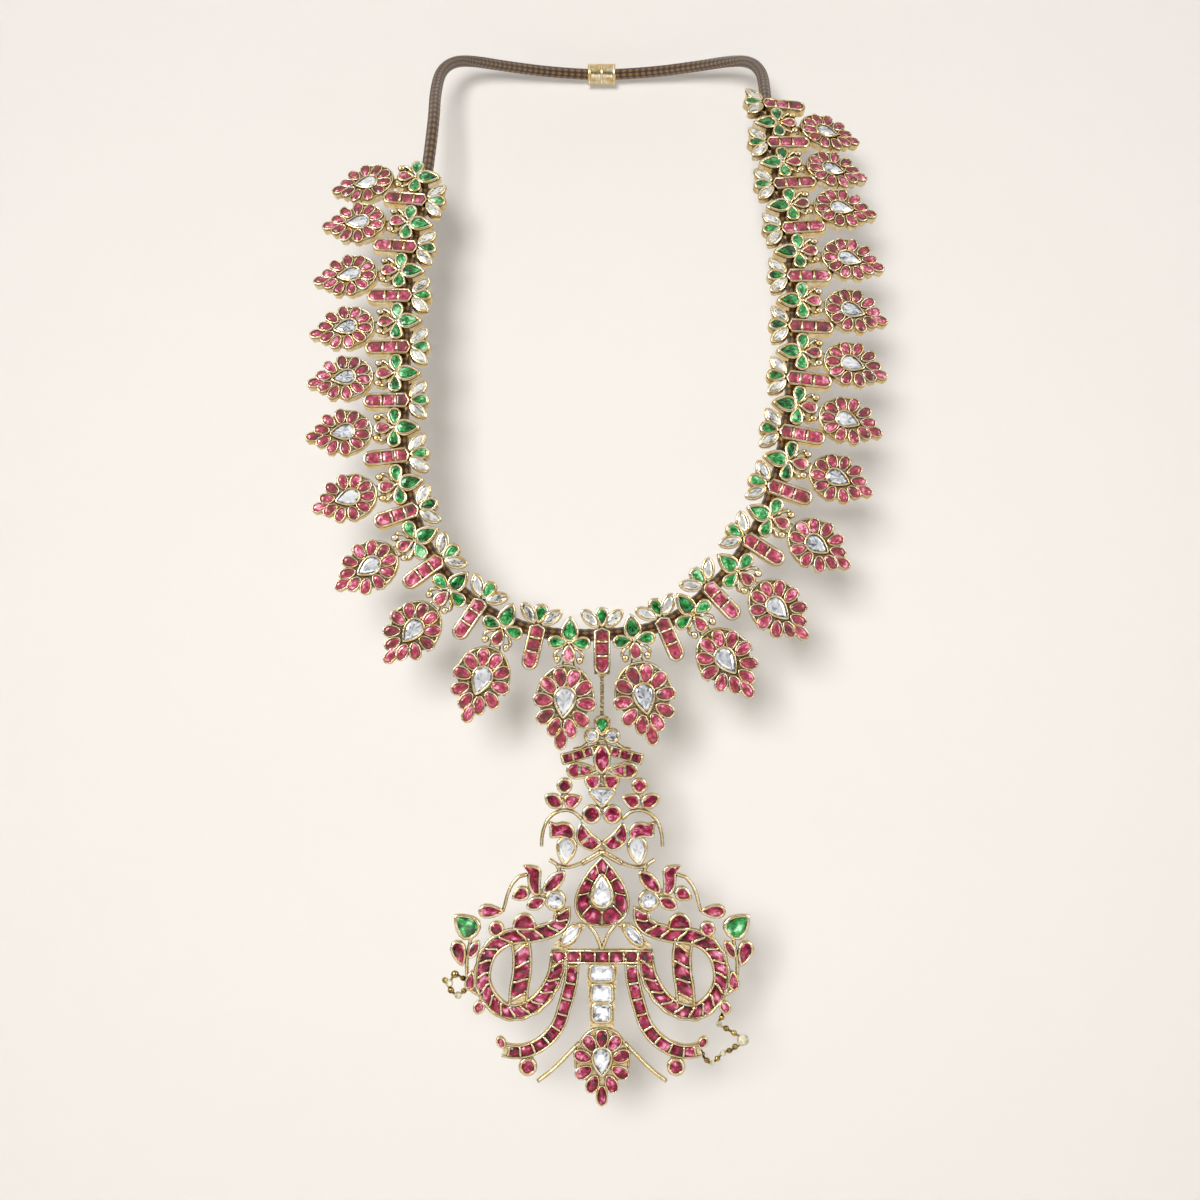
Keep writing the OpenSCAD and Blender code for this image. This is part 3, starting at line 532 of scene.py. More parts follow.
trefoil_emerald.stone(centre_pear, girdle=0.38)
for side in (-1, 1):
    side_leaf = placed(leaf(5.9, 2.6), side * 3.55, JUNCTION + 2.55, -side * 45)
    bar_gold.rim(side_leaf, 0.8)
    trefoil_diamond.stone(side_leaf, girdle=0.38, rise=0.2)
bar_s = np.concatenate([link_s(-1, np.arange(LEFT - 1, 0, -1)), [0], link_s(1, np.arange(1, RIGHT + 1))])
bar_places = cord_frames(bar_s)
gold_piece("bar_rims", bar_gold, bar_places)
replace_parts(gem_piece("bar_window_rubies", bar_ruby, bar_places, ruby, "ruby"), "bar_rubies_right", "bar_rubies_left")
gem_piece("trefoil_emeralds", trefoil_emerald, bar_places, emerald, "emerald")
gem_piece("trefoil_diamond_leaves", trefoil_diamond, bar_places, champagne, "diamond")


# ---- Flower links ----
# Four petals: a large emerald that points into the loop, two small ones to the sides and a ruby below,
# above two scroll wires that end in buds. A mango drop hangs from each.
FLOWER_Y = -2.2  # the middle of the four petals
flower_gold, flower_emerald, flower_ruby = Work(), Work(), Work()
big_petal = placed(pear(6.0, 3.9, 18), 0, FLOWER_Y + 4.0)
flower_gold.rim(big_petal, 0.9)
flower_emerald.stone(big_petal, girdle=0.25, rise=0.35, table=0.55)
for side in (-1, 1):
    small = placed(pear(4.8, 3.0), side * 3.45, FLOWER_Y, side * 90)
    flower_gold.rim(small, 0.7)
    flower_emerald.stone(small, girdle=0.38)
    hook = np.array([[1.4, 1.4], [3.1, 2.3], [4.1, 3.5], [4.1, 4.6]])
    flower_gold.ridge(np.column_stack([side * hook[:, 0], FLOWER_Y - hook[:, 1]]), [0.8, 1.0, 1.2, 1.2], 0.5)
    flower_gold.ball(side * 3.4, FLOWER_Y - 5.2, 1.05, 1.25, 0.8)
low = placed(pear(4.4, 3), 0, FLOWER_Y - 3.3)
flower_gold.rim(low, 0.7)
flower_ruby.stone(low, girdle=0.38)
flower_gold.ball(0, FLOWER_Y - 0.1, 0.7)
flower_s = {1: link_s(1, np.arange(RIGHT) + 0.5), -1: link_s(-1, np.arange(LEFT) + 0.5)}
flower_places = cord_frames(np.concatenate([flower_s[-1], flower_s[1]]))
gold_piece("flower_rims", flower_gold, flower_places)
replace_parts(gem_piece("flower_petal_emeralds", flower_emerald, flower_places, emerald, "emerald"),
            "flower_emeralds_right", "flower_emeralds_left")
gem_piece("flower_petal_rubies", flower_ruby, flower_places, ruby, "ruby")


# ---- Mango drops ----
# The mango, an old fruit form of temple jewellery: a flat diamond drop in a broad rim, ten ruby petals
# and a tail petal about it, on a gold box with a chased edge at the round end.
# Each hangs from its flower by a small ring behind, sags to its side, and falls back high up.
HINGE_Y, RING_Z = FLOWER_Y - 6.7, LIFT - 0.9  # where the jump ring hangs, from the cord
MANGO_TOP, TAIL_Y = 11.4, -10.9  # from the diamond to the plate's top and to the tail petal
SPREAD, SPREAD_UP, SPREAD_DOWN = 6.4, 7.55, 8.1  # half-axes of the oval that the petals' middles lie on
EDGE, EDGE_UP = 8.65, 11.05  # half-axes of the round end


def drop_places(side, count):
    """Frames of the drops' plates about their diamonds, and the drops' sizes. From the middle of the necklace up, a
    drop gets smaller, sags more to its side by turning about its ring, and high up falls back."""
    i = np.arange(1, count + 1)
    size = 0.8 + 0.2 * np.interp(i, [1, 2, 3, 4, 5], [1, 0.7, 0.4, 0.2, 0])
    sag = np.interp(i, [1, 2, 4, 7, 9, 12], [-3, 2, 10, 18, 18, 12]) if side > 0 else np.interp(
        i, [1, 2, 4, 8, 12], [-3, 2, 7, 10, 12])
    fall = np.radians(np.interp(i, [1, 6, 12], [0, 0, 12]))[:, None]
    turn = np.radians(-side * sag)[:, None]
    x, y, z, p = np.moveaxis(cord_frames(flower_s[side]), -1, 0)
    p = p + HINGE_Y * y + RING_Z * z
    y, z = np.cos(fall) * y + np.sin(fall) * z, np.cos(fall) * z - np.sin(fall) * y
    x, y = np.cos(turn) * x + np.sin(turn) * y, np.cos(turn) * y - np.sin(turn) * x
    p = p + (0.3 - 0.02 * np.abs(sag) - size * MANGO_TOP)[:, None] * y + (LIFT - RING_Z) * z
    return np.stack([x, y, z, p], -1), size


def mango(angles, base, gold, rubies, diamonds):
    """One mango drawn about its diamond, tip at -y: petals at the angles on an oval that is longer below, and chased
    marks between the upper ones."""
    outlines = [placed(petal(6.2, 3.1), 0, TAIL_Y)]
    for a in np.radians(angles):
        x, y = SPREAD * np.sin(a), (SPREAD_UP if np.cos(a) > 0 else SPREAD_DOWN) * np.cos(a)
        outlines.append(placed(petal(5.6, 3.5), x, y, 180 - np.degrees(np.arctan2(x, y))))
    for outline in outlines:
        gold.rim(outline, 0.5, 0.55, base)
        rubies.stone(outline, girdle=0.3, rise=0.4, table=0.5, base=base)
    drop = placed(pear(8.7, 5.8, 24), 0, 0, 180)
    gold.rim(drop, 0.75, 0.85, base)
    diamonds.stone(drop, girdle=0.35, rise=0.45, table=0.6, base=base)
    a = np.radians(np.linspace(-100, 100, 27))
    gold.ridge(np.column_stack([EDGE * np.sin(a), EDGE_UP * np.cos(a)]), 0.8, 0.5, base)
    middles = np.radians([(p + q) / 2 for p, q in zip(angles[:-1], angles[1:]) if abs(p + q) / 2 < 80])
    for a in middles:
        spread = a + np.array([-0.13, 0, 0.13])
        reach = np.array([[8.0, 10.2], [6.9, 8.7], [8.0, 10.2]])
        gold.ridge(np.column_stack([reach[:, 0] * np.sin(spread), reach[:, 1] * np.cos(spread)]), 0.5, 0.42, base)


drop_gold, drop_ruby, drop_diamond = Work(), Work(), Work()
mango(-160 + 35.5 * np.arange(10), PLATE_T, drop_gold, drop_ruby, drop_diamond)
for side, count, word in ((1, RIGHT, "right"), (-1, LEFT, "left")):
    places, size = drop_places(side, count)
    gold_piece("drop_rims_" + word, drop_gold, places, size)
    gem_piece("drop_rubies_" + word, drop_ruby, places, ruby, "ruby", size)
    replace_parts(gem_piece("drop_flat_diamonds_" + word, drop_diamond, places, diamond, "diamond", size),
                "drop_diamonds_" + word)


# ---- Pendant ----
# One pierced plate of settings soldered side by side: two birds with looped ruby tails about a pear
# medallion, a crown above, and a diamond column with a mango below. It swings from a pin behind the
# middle bar. The +X half is drawn, in mm across and up from the pin, and mirrored to -X.
PIN = (0, -146.5, -211.4)
FACE = PLATE_T / 2  # the plate's front, from its middle plane
pendant_place = np.array([[[1, 0, 0, PIN[0]], [0, 0, -1, PIN[1]], [0, 1, 0, PIN[2] - 0.2]]], float)
# Bare wires: width and path
WIRES = [
    (1, [[4.4, -21.6], [6.4, -22.9], [8.6, -23.4]]),
    (1, [[6, -44.4], [8.3, -42.4], [10.1, -41.7], [12.5, -41.8], [14.6, -42.8], [16.5, -44.7], [17.6, -47.4],
         [18.1, -50], [18.2, -52.5]]),
    (1.6, [[0, -54.2], [3.5, -56.3], [6.1, -57.7]]),
    (1, [[5.5, -57.4], [8.6, -58.5], [10.9, -58.9], [13.4, -58.2], [15.8, -56.6]]),
    (1.1, [[4.6, -75.4], [3.2, -77.2], [1.7, -79.4], [0, -83.8]]),
    (1, [[22.6, -61], [25.1, -61.8], [27.2, -64.2], [28.5, -67.2], [29.2, -70], [29.8, -72]]),
    (1.2, [[13.6, -58], [12.9, -59.6], [13.2, -61.8]]),
    (1, [[39.4, -79.8], [40.6, -85.8], [40.7, -90.9], [39.4, -95.6], [36.6, -97.5]]),
    (1, [[7, -111.8], [12.5, -117.6], [16.1, -120.9], [19.4, -123.3]])]
# Single settings: outline, x, y, length and width of the stone, turn, wall, stone
SETTINGS = [
    (oval, 3.1, -19.3, 3.1, 3.1, 0, 0.9, "diamond"), (pear, 2.6, -32.9, 3.9, 3.7, 50, 0.7, "ruby"),
    (oval, 3.1, -42.9, 4.3, 4.3, 0, 0.85, "ruby"), (oval, 11.3, -34.3, 3.4, 3.4, 0, 0.75, "ruby"),
    (pear, 8.7, -38.8, 4.6, 3.4, 69, 0.7, "ruby"), (leaf, 14.5, -38.9, 5, 3.2, -58, 0.7, "ruby"),
    (pear, 10.8, -53.9, 7.2, 4.7, 188, 0.9, "diamond"), (oval, 14.1, -68.8, 4.8, 4.8, 0, 0.9, "diamond"),
    (leaf, 19.9, -69.7, 5, 2.8, -115, 0.7, "ruby"), (leaf, 14.4, -63.3, 7.8, 3.2, 45, 0.7, "ruby"),
    (pear, 24.6, -67, 4.2, 3.2, -115, 0.7, "ruby"), (pear, 33.4, -72.1, 6.4, 3, 90, 0.7, "ruby"),
    (dome, 23.4, -75.2, 4, 6, 0, 0.7, "ruby"), (oval, 31.8, -77.4, 3.4, 3.4, 0, 0.7, "ruby"),
    (pear, 41, -76.3, 7.4, 5.9, -47, 0.9, "emerald"), (leaf, 38.6, -83.6, 5, 2, 29, 0.6, "ruby"),
    (pear, 43, -84.8, 6.6, 3.4, 165, 0.7, "ruby"), (pear, 39.6, -93, 5, 2.4, 8, 0.6, "ruby"),
    (oval, 37, -101, 3.2, 2.4, 30, 0.6, "ruby"), (oval, 22.3, -118.9, 3.9, 3.9, 0, 0.85, "ruby"),
    (oval, 30.4, -111.6, 2.8, 1.8, -30, 0.5, "ruby"), (leaf, 9.4, -79.2, 7.4, 3, 42, 0.7, "diamond")]
MIDDLE_SETTINGS = [
    (pear, 0, -16.2, 4.6, 3.4, 180, 0.9, "emerald"), (leaf, 0, -26.3, 7.6, 3.9, 0, 0.8, "ruby"),
    (pear, 0, -65.9, 9, 5.4, 0, 1, "diamond"), (cushion, 0, -90.7, 4.6, 6.8, 0, 0.7, "diamond"),
    (cushion, 0, -96.7, 5.2, 6, 0, 0.7, "diamond"), (cushion, 0, -102.6, 5.1, 5.3, 0, 0.7, "diamond")]
# Free outlines
CURVED_RUBY = [
    [8.1, -49.2], [8.4, -47.1], [9.9, -45.5], [11.9, -45.1], [14, -45.6], [16.2, -44.9], [15.8, -47.4],
    [15.6, -50.1], [13.1, -49.9], [11, -50.2], [9.2, -51]]
CREST_LEAF = [
    [18.2, -60], [19.4, -58.6], [21.8, -58.1], [23.9, -58.4], [22.2, -59.8], [22.5, -61.8],
    [22.2, -64.5], [20.9, -67], [18.5, -67.1], [18.4, -63.6]]
KITE = [[6.2, -45.2], [7.9, -48.9], [6.8, -52.2], [2.9, -54], [0, -51.9], [0, -51], [3.1, -48.7]]
KITE_STONES = [[[6.1, -46.6], [7.2, -49.0], [6.7, -51.0], [5.2, -50.2], [4.3, -49.0]],
               [[3.6, -49.4], [4.5, -50.9], [6.0, -51.9], [3.1, -53.2], [1.2, -51.6]]]
FAN_STONES = [[[3.2, -29.7], [4.9, -28.8], [6.35, -28.3], [6.45, -29.7], [6.35, -31.1], [4.9, -30.6]],
              [[7.2, -28.1], [8.3, -28.0], [9.4, -28.6], [10.0, -29.7],
               [9.4, -30.8], [8.3, -31.4], [7.2, -31.3], [7.3, -29.7]]]
TRIANGLE = [[-3.4, 1.7], [0, 2.1], [3.4, 1.7], [2.2, -0.4], [0.9, -2], [0, -2.6], [-0.9, -2], [-2.2, -0.4]]
# Paths of the channel-set rows: the looped tail, the leg, the bar inside the loop and the crown's arm
BIRD_BAND = np.array([
    [11.9, -71], [11.8, -73.5], [13, -76.3], [16.9, -78.2], [21.4, -79.2], [26.8, -79.7],
    [31.4, -81.8], [34.4, -85.2], [35.7, -89.2], [35.9, -93.2], [34.5, -97.1], [32, -100.3],
    [28.8, -102.2], [25.2, -102.3], [21.3, -100.9], [18, -98.2], [15.6, -94.6], [13.9, -90.6], [13, -85]])
LEG_BAND = np.array([
    [8.9, -86], [9.1, -91.5], [10.1, -96.5], [11.4, -101.1], [12.8, -105.6], [15.3, -109.4],
    [18.8, -112.4], [22.9, -114.1], [26.6, -114.4], [29.8, -113.8]])
INNER_BAND = np.array([[24.7, -80.5], [24, -85.4], [24.2, -90.8], [25, -95.6], [25.3, -101]])
ARM_BAND = np.array([[1.2, -23.4], [6.5, -24.9], [12.2, -26.5]])
MEDALLION_Y, TRIANGLE_Y = -66.3, -37.4
CROSS_Y, CROSS_STEP = -85.8, 4.35  # the cross bar's middle and the step of its rubies
ROW_GAP, ROW_WALL = 0.5, 0.95  # from a crossing wall's middle to the stone beside it, and its thickness
pendant_gold, row_gems = Work(), Work()
pendant_gems = {"ruby": Work(), "emerald": Work(), "diamond": Work()}


def mirrored(points, mirror):
    """The points, or their mirror image in the middle line with an outline still clockwise."""
    points = np.asarray(points, float)
    return (points * [-1, 1])[::-1] if mirror else points


def on_path(path, u, by):
    """Points beside an open Catmull-Rom curve: u counts the path's points, by is the distance to the left."""
    whole = np.concatenate([2 * path[:1] - path[1:2], path, 2 * path[-1:] - path[-2:-1]])
    u = np.clip(u, 0, len(path) - 1)
    i = np.minimum(u.astype(int), len(path) - 2)
    f = (u - i)[:, None]
    a, b, c, d = (whole[i + k] for k in range(4))
    place = between(a, b, c, d, f)
    slope = 0.5 * (c - a + 2 * (2 * a - 5 * b + 4 * c - d) * f + 3 * (3 * b - 3 * c + d - a) * f ** 2)
    return place + np.reshape(by, (-1, 1)) * unit(np.stack([-slope[:, 1], slope[:, 0]], -1))


def curved(path, steps=4):
    """An open Catmull-Rom curve through the path's points, with so many steps from each to the next."""
    path = np.asarray(path, float)
    return on_path(path, np.linspace(0, len(path) - 1, (len(path) - 1) * steps + 1), 0.0)


def cell(low, high):
    """A stone that fills a four-sided cell. Its low and high sides are paths of four points, between which the grid
    runs at shares 0, 0.25, 0.75 and 1; the inner four points stand higher as its table, and the corners are cut."""
    share = np.array([0, 0.25, 0.75, 1])[:, None, None]
    flat = low[None] * (1 - share) + high[None] * share
    corner = np.ix_([0, 3], [0, 3])
    flat[corner] += 0.2 * (flat.mean(axis=(0, 1)) - flat[corner])
    table = np.zeros((4, 4))
    table[1:3, 1:3] = 1
    top = np.concatenate([flat, (FACE + 0.08 + 0.3 * table)[..., None]], -1).reshape(-1, 3)
    skirt = np.array([0, 1, 2, 3, 7, 11, 15, 14, 13, 12, 8, 4])
    foot = top[skirt] - [0, 0, 0.6]
    k = np.arange(12)
    wall = np.stack([16 + k, 16 + (k + 1) % 12, np.roll(skirt, -1), skirt], -1)
    under = np.array([[0, 11, 10, 1], [1, 10, 9, 2], [2, 9, 8, 3], [3, 8, 7, 4], [4, 7, 6, 5]]) + 16
    faces = np.concatenate([grid_faces(4, 4, closed_columns=False), wall, under])
    upward = np.cross(flat[0, 1] - flat[0, 0], flat[1, 0] - flat[0, 0]) > 0
    row_gems.add(np.concatenate([top, foot]), faces if upward else faces[:, ::-1])


def band(path, width, marks, mirror, slant=0.0, scallop=0.0, wall=0.9):
    """A channel-set row. At each mark, counted in points of the path, a wall crosses on an S whose ends lean apart by
    slant; one stone fills each cell between walls. The left edge swells out by scallop at every stone."""
    sign = [-1, 1] if mirror else [1, 1]
    marks = np.asarray(marks, float)
    u = np.linspace(0, len(path) - 1, (len(path) - 1) * 6 + 1)
    swell = scallop * np.abs(np.sin(np.pi * (u - marks[0] - slant)))
    for hand in (-1, 1):
        by = hand * (width / 2 - wall / 2) + (swell if hand > 0 else 0)
        pendant_gold.ridge(on_path(path, u, by) * sign, wall, 0.5, FACE)
    inner = width / 2 - wall + 0.05
    t = np.linspace(-1, 1, 5)
    for mark in marks:
        across = on_path(path, mark + slant * np.sin(t * np.pi / 2), (inner + 0.1) * t)
        pendant_gold.ridge(across * sign, ROW_WALL, 0.5, FACE)
    spacing = np.linalg.norm(np.diff(path, axis=0), axis=1).mean()
    for low, high in zip(marks[:-1], marks[1:]):
        spread = np.linspace(low + ROW_GAP / spacing, high - ROW_GAP / spacing, 4)
        cell(*(on_path(path, spread + h * slant, h * inner) * sign for h in (-1, 1)))


for mirror in (False, True):
    sign = [-1, 1] if mirror else [1, 1]
    for width, path in WIRES:
        pendant_gold.ridge(mirrored(curved(path), mirror), width, 0.5, FACE)
    for kind, x, y, length, width, turn, wall, stone in SETTINGS:
        shape = mirrored(placed(kind(length, width), x, y, turn), mirror)
        pendant_gold.rim(shape, wall, 0.5, FACE)
        pendant_gems[stone].stone(shape, girdle=0.38 if stone == "ruby" else 0.3, base=FACE)
    pendant_gold.rim(mirrored(placed(pear(8.6, 4, 28), 5.9, -29.7, 90), mirror), 0.7, 0.5, FACE)
    pendant_gold.ridge(np.array([[6.75, -28.0], [6.9, -29.7], [6.75, -31.4]]) * sign, 0.75, 0.5, FACE)
    for part in FAN_STONES:
        pendant_gems["ruby"].stone(mirrored(smooth_loop(part, 2), mirror), girdle=0.38, base=FACE)
    for outline in (CURVED_RUBY, CREST_LEAF):
        inside = mirrored(grown(smooth_loop(outline), -0.75), mirror)
        pendant_gold.rim(inside, 0.75, 0.5, FACE)
        pendant_gems["ruby"].stone(inside, girdle=0.38, base=FACE)
    pendant_gold.rim(mirrored(grown(smooth_loop(KITE), -0.6), mirror), 0.6, 0.5, FACE)
    pendant_gold.ridge(np.array([[3.9, -48.9], [4.8, -50.4], [6.9, -51.5]]) * sign, 0.6, 0.45, FACE)
    for outline in KITE_STONES:
        pendant_gems["ruby"].stone(mirrored(smooth_loop(outline), mirror), girdle=0.38, base=FACE)
    band(BIRD_BAND, 5.0, np.arange(0.5, 17.6), mirror, slant=0.24, scallop=0.35)
    band(LEG_BAND, 4.3, np.arange(0.45, 9), mirror, wall=0.78)
    band(INNER_BAND, 6.0, [0.55, 1.5, 2.45, 3.4], mirror, slant=0.2)
    band(ARM_BAND, 3.4, [0.3, 0.8, 1.4, 1.95], mirror, wall=0.6)
for kind, x, y, length, width, turn, wall, stone in MIDDLE_SETTINGS:
    shape = placed(kind(length, width, 20), x, y, turn)
    pendant_gold.rim(shape, wall, 0.5, FACE)
    pendant_gems[stone].stone(shape, girdle=0.3, rise=0.4, base=FACE)
three_sided = smooth_loop(TRIANGLE) + [0, TRIANGLE_Y]
pendant_gold.rim(three_sided, 0.8, 0.5, FACE)
pendant_gems["diamond"].stone(three_sided, girdle=0.3, rise=0.35, base=FACE)

# The cross bar: wires above and below, and seven rubies between walls
for y in (CROSS_Y + 1.8, CROSS_Y - 1.8):
    pendant_gold.ridge([[-15.1, y], [0, y], [15.1, y]], 0.85, 0.55, FACE)
for x in CROSS_STEP * (np.arange(8) - 3.5):
    pendant_gold.ridge([[x, CROSS_Y + 1.6], [x, CROSS_Y], [x, CROSS_Y - 1.6]], 0.85, 0.5, FACE)
for x in CROSS_STEP * (np.arange(7) - 3):
    spread = np.linspace(x - 1.75, x + 1.75, 4)
    cell(*(np.column_stack([spread, np.full(4, CROSS_Y + h)]) for h in (-1.45, 1.45)))

# The medallion: an outer wire, nine rubies in sectors and a wall between each two
SECTORS = np.radians([-36, 36, 64, 96, 137, 180, 223, 264, 296, 324])


def around(length, width, angle, lift=0.0):
    """Points of a pear outline about the medallion's middle, at angles clockwise from its tip: x goes as the sine of
    the angle times that of its half, y as the cosine."""
    a = np.mod(angle, 2 * np.pi)
    return np.stack([width / 2 * np.sin(a) * np.sin(a / 2) / 0.77, length / 2 * np.cos(a) + MEDALLION_Y + lift], -1)


pendant_gold.ridge(around(20.9, 16.1, np.linspace(0, 2 * np.pi, 33)[:-1]), 0.8, 0.5, FACE, closed=True)
for start, stop in zip(SECTORS[:-1], SECTORS[1:]):
    way = np.linspace(0, 1, 4)[:, None]
    wall = around(11.6, 7.8, [start], 0.4) * (1 - way) + around(20.4, 15.6, [start]) * way
    pendant_gold.ridge(wall, 0.6, 0.45, FACE)
    spread = np.linspace(start + 0.06, stop - 0.06, 4)
    cell(around(12.3, 8.4, spread, 0.4), around(19.8, 15.0, spread))

# The mango at the pendant's foot: nine petals and a tail petal, a little smaller than the drops beside the middle
END_SIZE, END_Y = np.array([0.93]), -117.4
end_place = pendant_place.copy()
end_place[0, 2, 3] += END_Y
end_gold, end_ruby, end_diamond = Work(), Work(), Work()
mango(38.0 * np.arange(-4, 5), FACE, end_gold, end_ruby, end_diamond)
gold_piece("end_mango_rims", end_gold, end_place, END_SIZE, "pendant")
gem_piece("end_mango_rubies", end_ruby, end_place, deep_ruby, "ruby", END_SIZE, "pendant")
gem_piece("end_mango_diamond", end_diamond, end_place, diamond, "diamond", END_SIZE, "pendant")
gold_piece("pendant_rims", pendant_gold, pendant_place, body="pendant")
for kind, finish, solids in (("ruby", deep_ruby, "pendant_rubies"), ("emerald", emerald, "pendant_emeralds"),
                             ("diamond", diamond, "pendant_diamonds")):
    made = gem_piece("pendant_set_" + kind, pendant_gems[kind], pendant_place, finish, kind, body="pendant")
    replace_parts(made, solids)
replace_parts(gem_piece("pendant_channel_rubies", row_gems, pendant_place, deep_ruby, "ruby", body="pendant"),
            "pendant_ruby_rows")


# ---- Seed pearls ----
# Pearls threaded on gold wire, tarnished in patches, with small gold beads between them: a swag from
# the +X tail to the leg's end, and a short cluster at the -X side. The wire is twisted round the settings.
pearl = Finish("seed_pearl", Roughness=0.25, Coat_Weight=0.4)
pearl.dress(pearl.mixed(pearl.noise(700) * 2.4 - 0.7, (0.27, 0.23, 0.11, 1), (0.84, 0.80, 0.62, 1)))
# The wire's painted sheen and shade, broken by tarnish in patches
wire_gold = gold_finish("tarnished_wire_gold", lambda gold: gold.stored("crest") * (gold.noise(800) * 4.0 - 1.45),
                        deep=(0.36, 0.22, 0.045, 1), pale=(0.86, 0.66, 0.24, 1))
SWAG = [[36.9, -101.1], [36.0, -103.8], [35.3, -106.2], [38.6, -108.2], [42.5, -111], [39.8, -113.6], [36.5, -114.9],
        [33.2, -117.9], [31.0, -116.6], [29.8, -113.9]]
TUFT = [[-39.8, -93.4], [-42.0, -92.4], [-44.3, -91.2], [-46.1, -93.9], [-47.3, -93], [-45.6, -95.9], [-43.4, -97.5],
        [-40.6, -95.4]]
WIRE_R = 0.38
ALMOST_DOWN = -np.pi / 2 + 0.01  # the tilt at which a whole bead starts
thread, pearls = Work(), Work()


def round_wire(path):
    """A round wire in the plate's middle plane: circles of six points carried along the curve, closed at both ends."""
    middle = curved(path)
    side = unit(np.gradient(middle, axis=0)) @ np.array([[0, 1], [-1, 0]])
    a = 2 * np.pi * np.arange(6) / 6
    flat = middle[:, None] + side[:, None] * (WIRE_R * np.cos(a))[:, None]
    corners = np.concatenate([flat, np.broadcast_to((WIRE_R * np.sin(a))[:, None], flat.shape[:2] + (1,))], -1)
    ends = six_sided_ends(6 * (len(middle) - 1))
    # Painted highlight on the wire's upper side and painted shade on its lower side
    thread.add(corners.reshape(-1, 3), np.concatenate([grid_faces(len(middle), 6), ends]),
               np.tile([0.4, 0.8, 1, 0.8, 0.5, 0.3], len(middle)))


for path in (SWAG, TUFT):
    round_wire(path)
for x, y, size in ((35.3, -106.2, 1.0), (42.5, -111, 1.8), (36.5, -114.9, 1.0), (33.2, -117.9, 0.9),
                   (-46.1, -93.9, 1.25), (-43.4, -97.5, 1.15)):
    pearls.ball(x, y, size, high=size, base=0.0, sides=16, lines=11, low=ALMOST_DOWN)
# The gold beads
for x, y, size in ((36.1, -104.2, 0.91), (37.4, -107.5, 0.975), (39.8, -108.9, 0.91), (40.1, -113.0, 0.975),
                   (38.4, -114.2, 0.91), (34.8, -116.6, 0.91), (31.6, -117.1, 0.91), (30.3, -115.2, 0.78),
                   (-44.3, -91.2, 1.235), (-47.3, -93, 0.975), (-41.9, -92.4, 0.91), (-45.5, -96.0, 1.04),
                   (-41.6, -96.2, 0.91)):
    thread.ball(x, y, size, high=size, base=0.0, sides=10, lines=7, low=ALMOST_DOWN)
gold_piece("pearl_wire", thread, pendant_place, body="pendant", finish=wire_gold)
corners, faces, *_ = pearls.laid(pendant_place)
piece("seed_pearls", corners, faces, pearl.material, "pendant", "diamond")


# ---- Clasp ----
# A plain turned gold sleeve that closes the cord at the nape.
# It has a half-round ring at each end and one in the middle: a profile of five points turned about the cord.
NAPE_Y = 3.6  # the cord's middle there
# Each profile point is a place along the cord, a radius and a share of painted sheen, highest on the ring's round top
RING_PROFILE = [(-0.5, 3.5, 0.2), (-0.35, 3.72, 0.8), (0, 3.8, 1), (0.35, 3.72, 0.8), (0.5, 3.5, 0.2)]
clasp = Work()
a = 2 * np.pi * np.arange(36) / 36
for middle in (-4.4, 0, 4.4):
    rings = [np.column_stack([np.full(36, middle + x), r * np.sin(a), r * np.cos(a)]) for x, r, _ in RING_PROFILE]
    clasp.add(np.concatenate(rings), grid_faces(5, 36, closed_rows=True), np.repeat([c for *_, c in RING_PROFILE], 36))
gold_piece("clasp_rings", clasp, np.array([[[1, 0, 0, 0], [0, 1, 0, NAPE_Y], [0, 0, 1, 0]]], float))


# ---- Floor, light and camera ----
# A pale floor and a pale wall behind the necklace, a soft lamp beside the camera that throws its shadow a
# little down and to the right, and two wide soft windows that only what is polished reflects. The paper of
# floor and wall has one side: seen from its back it is clear.
paper = Finish("pale_paper", Roughness=0.95)
paper.feed(paper.shader.inputs["Alpha"], 1 - paper.node("ShaderNodeNewGeometry", {}, {}, "Backfacing"))
paper.dress(paper.mixed(paper.noise(3.0), (0.808, 0.779, 0.746, 1), (0.800, 0.771, 0.738, 1)))

# In mm: half the room's width, the floor's height, and the wall's place and top
WIDE, FLOOR_Z, WALL_Y, WALL_TOP = 3000, -420, 20, 2500
ROOM = np.array([
    [-WIDE, -WIDE, FLOOR_Z], [WIDE, -WIDE, FLOOR_Z], [WIDE, WIDE, FLOOR_Z], [-WIDE, WIDE, FLOOR_Z],
    [-WIDE, WALL_Y, FLOOR_Z], [WIDE, WALL_Y, FLOOR_Z], [WIDE, WALL_Y, WALL_TOP], [-WIDE, WALL_Y, WALL_TOP]], float)
mesh = bpy.data.meshes.new("floor_and_wall")
mesh.from_pydata((ROOM * 0.001).tolist(), [], [[0, 1, 2, 3], [4, 5, 6, 7]])
mesh.materials.append(paper.material)
backdrop = bpy.data.objects.new("floor_and_wall", mesh)
bpy.context.scene.collection.objects.link(backdrop)

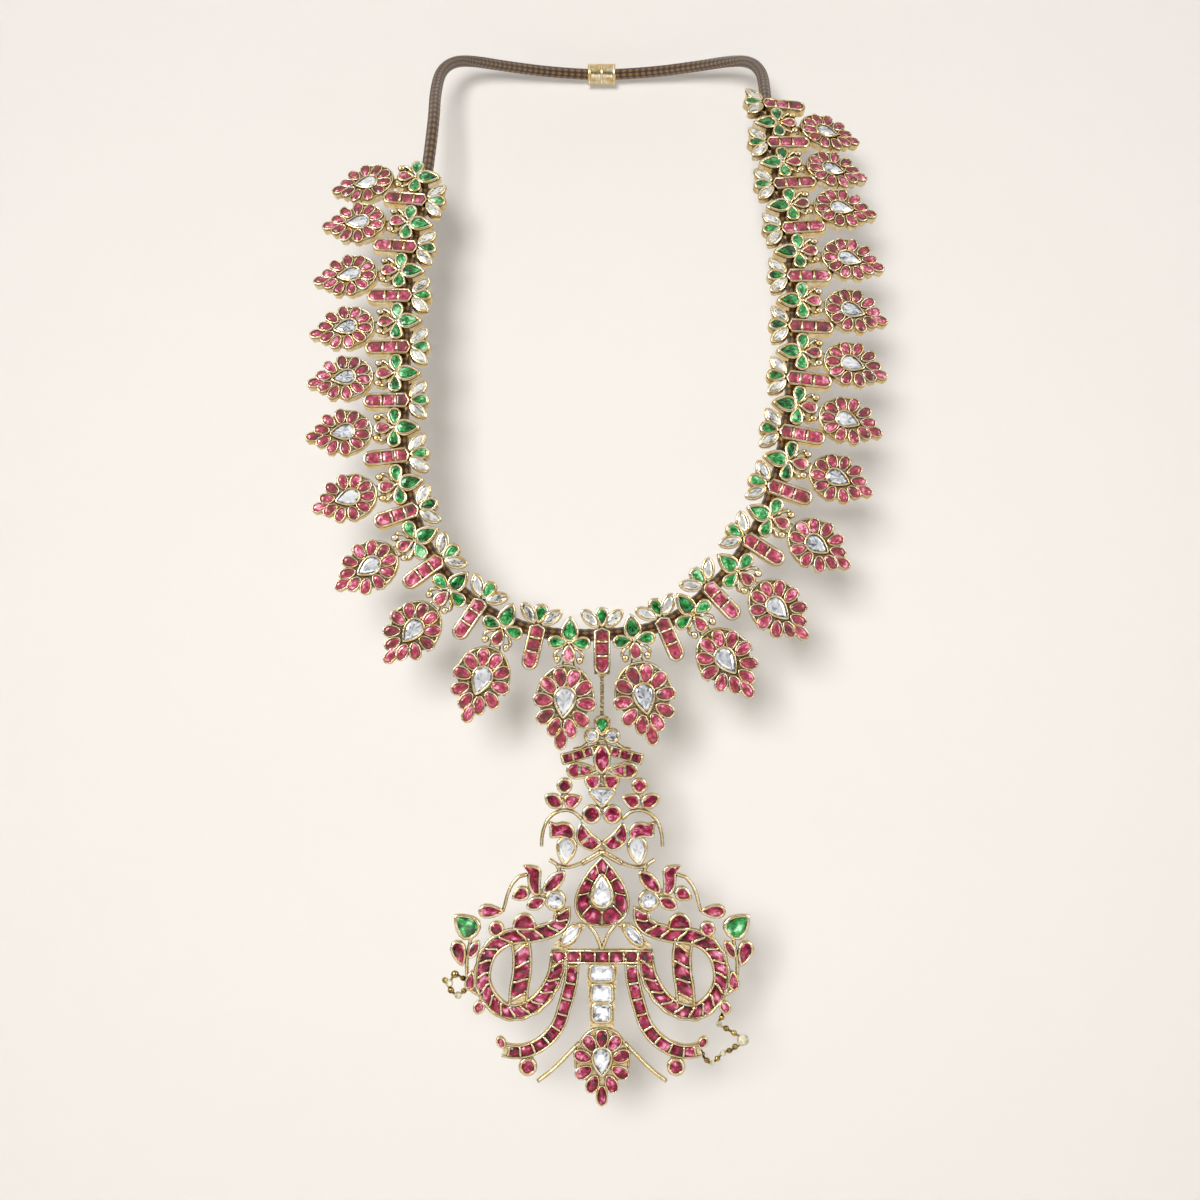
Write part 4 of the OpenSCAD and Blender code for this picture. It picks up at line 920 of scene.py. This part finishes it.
# The room's light: even and a little warm from above, and dim from below
ROOM_LIGHT = 0.74
world = bpy.data.worlds.new("room")
bpy.context.scene.world = world
world.use_nodes = True
sky = world.node_tree.nodes
where, split, shades = (sky.new("ShaderNode" + kind) for kind in ("TexCoord", "SeparateXYZ", "ValToRGB"))
for element, (place, level) in zip(shades.color_ramp.elements, ((0.0, 0.10), (0.8, 1.0))):
    element.position, element.color = place, (level, level * 0.985, level * 0.96, 1)
world.node_tree.links.new(where.outputs["Generated"], split.inputs[0])
world.node_tree.links.new(split.outputs["Z"], shades.inputs[0])
world.node_tree.links.new(shades.outputs["Color"], sky["Background"].inputs["Color"])
sky["Background"].inputs["Strength"].default_value = ROOM_LIGHT


def lamp(name, energy, place, aim, width, height, on_matt, on_metal, spread=180):
    """An oblong lamp in m and W, turned to its aim, that lights what is matt, what reflects, or both."""
    made = bpy.data.lights.new(name, "AREA")
    made.energy, made.shape, made.size, made.size_y = energy, "RECTANGLE", width, height
    made.spread = np.radians(spread)
    shown = bpy.data.objects.new(name, made)
    shown.location = place
    shown.rotation_euler = (Vector(aim) - Vector(place)).to_track_quat("-Z", "Y").to_euler()
    shown.visible_diffuse, shown.visible_glossy = on_matt, on_metal
    bpy.context.scene.collection.objects.link(shown)


lamp("camera_lamp", 6.55, (-0.068, -1.20, -0.122), (0, 0, -0.19), 0.105, 0.105, True, False, spread=150)
lamp("left_window", 8.6, (-0.75, -0.85, 0.35), (0, -0.12, -0.18), 0.4, 0.6, False, True)
lamp("right_window", 4.2, (0.75, -0.78, 0.2), (0, -0.12, -0.18), 0.3, 0.8, False, True)

# Straight from the front, with the photo's width of 0.36 m at the pendant's plane
PHOTO_WIDTH, PENDANT_AWAY = 0.36, 0.75
camera = bpy.data.objects.new("camera", bpy.data.cameras.new("camera"))
camera.location = (-0.0006, -0.900, -0.190)
camera.rotation_euler = (np.pi / 2, 0, 0)
camera.data.sensor_fit = "HORIZONTAL"
camera.data.angle = 2 * np.arctan(0.5 * PHOTO_WIDTH / PENDANT_AWAY)
camera.data.clip_start = 0.01
bpy.context.scene.collection.objects.link(camera)
bpy.context.scene.camera = camera
bpy.context.scene.view_settings.view_transform = "Standard"
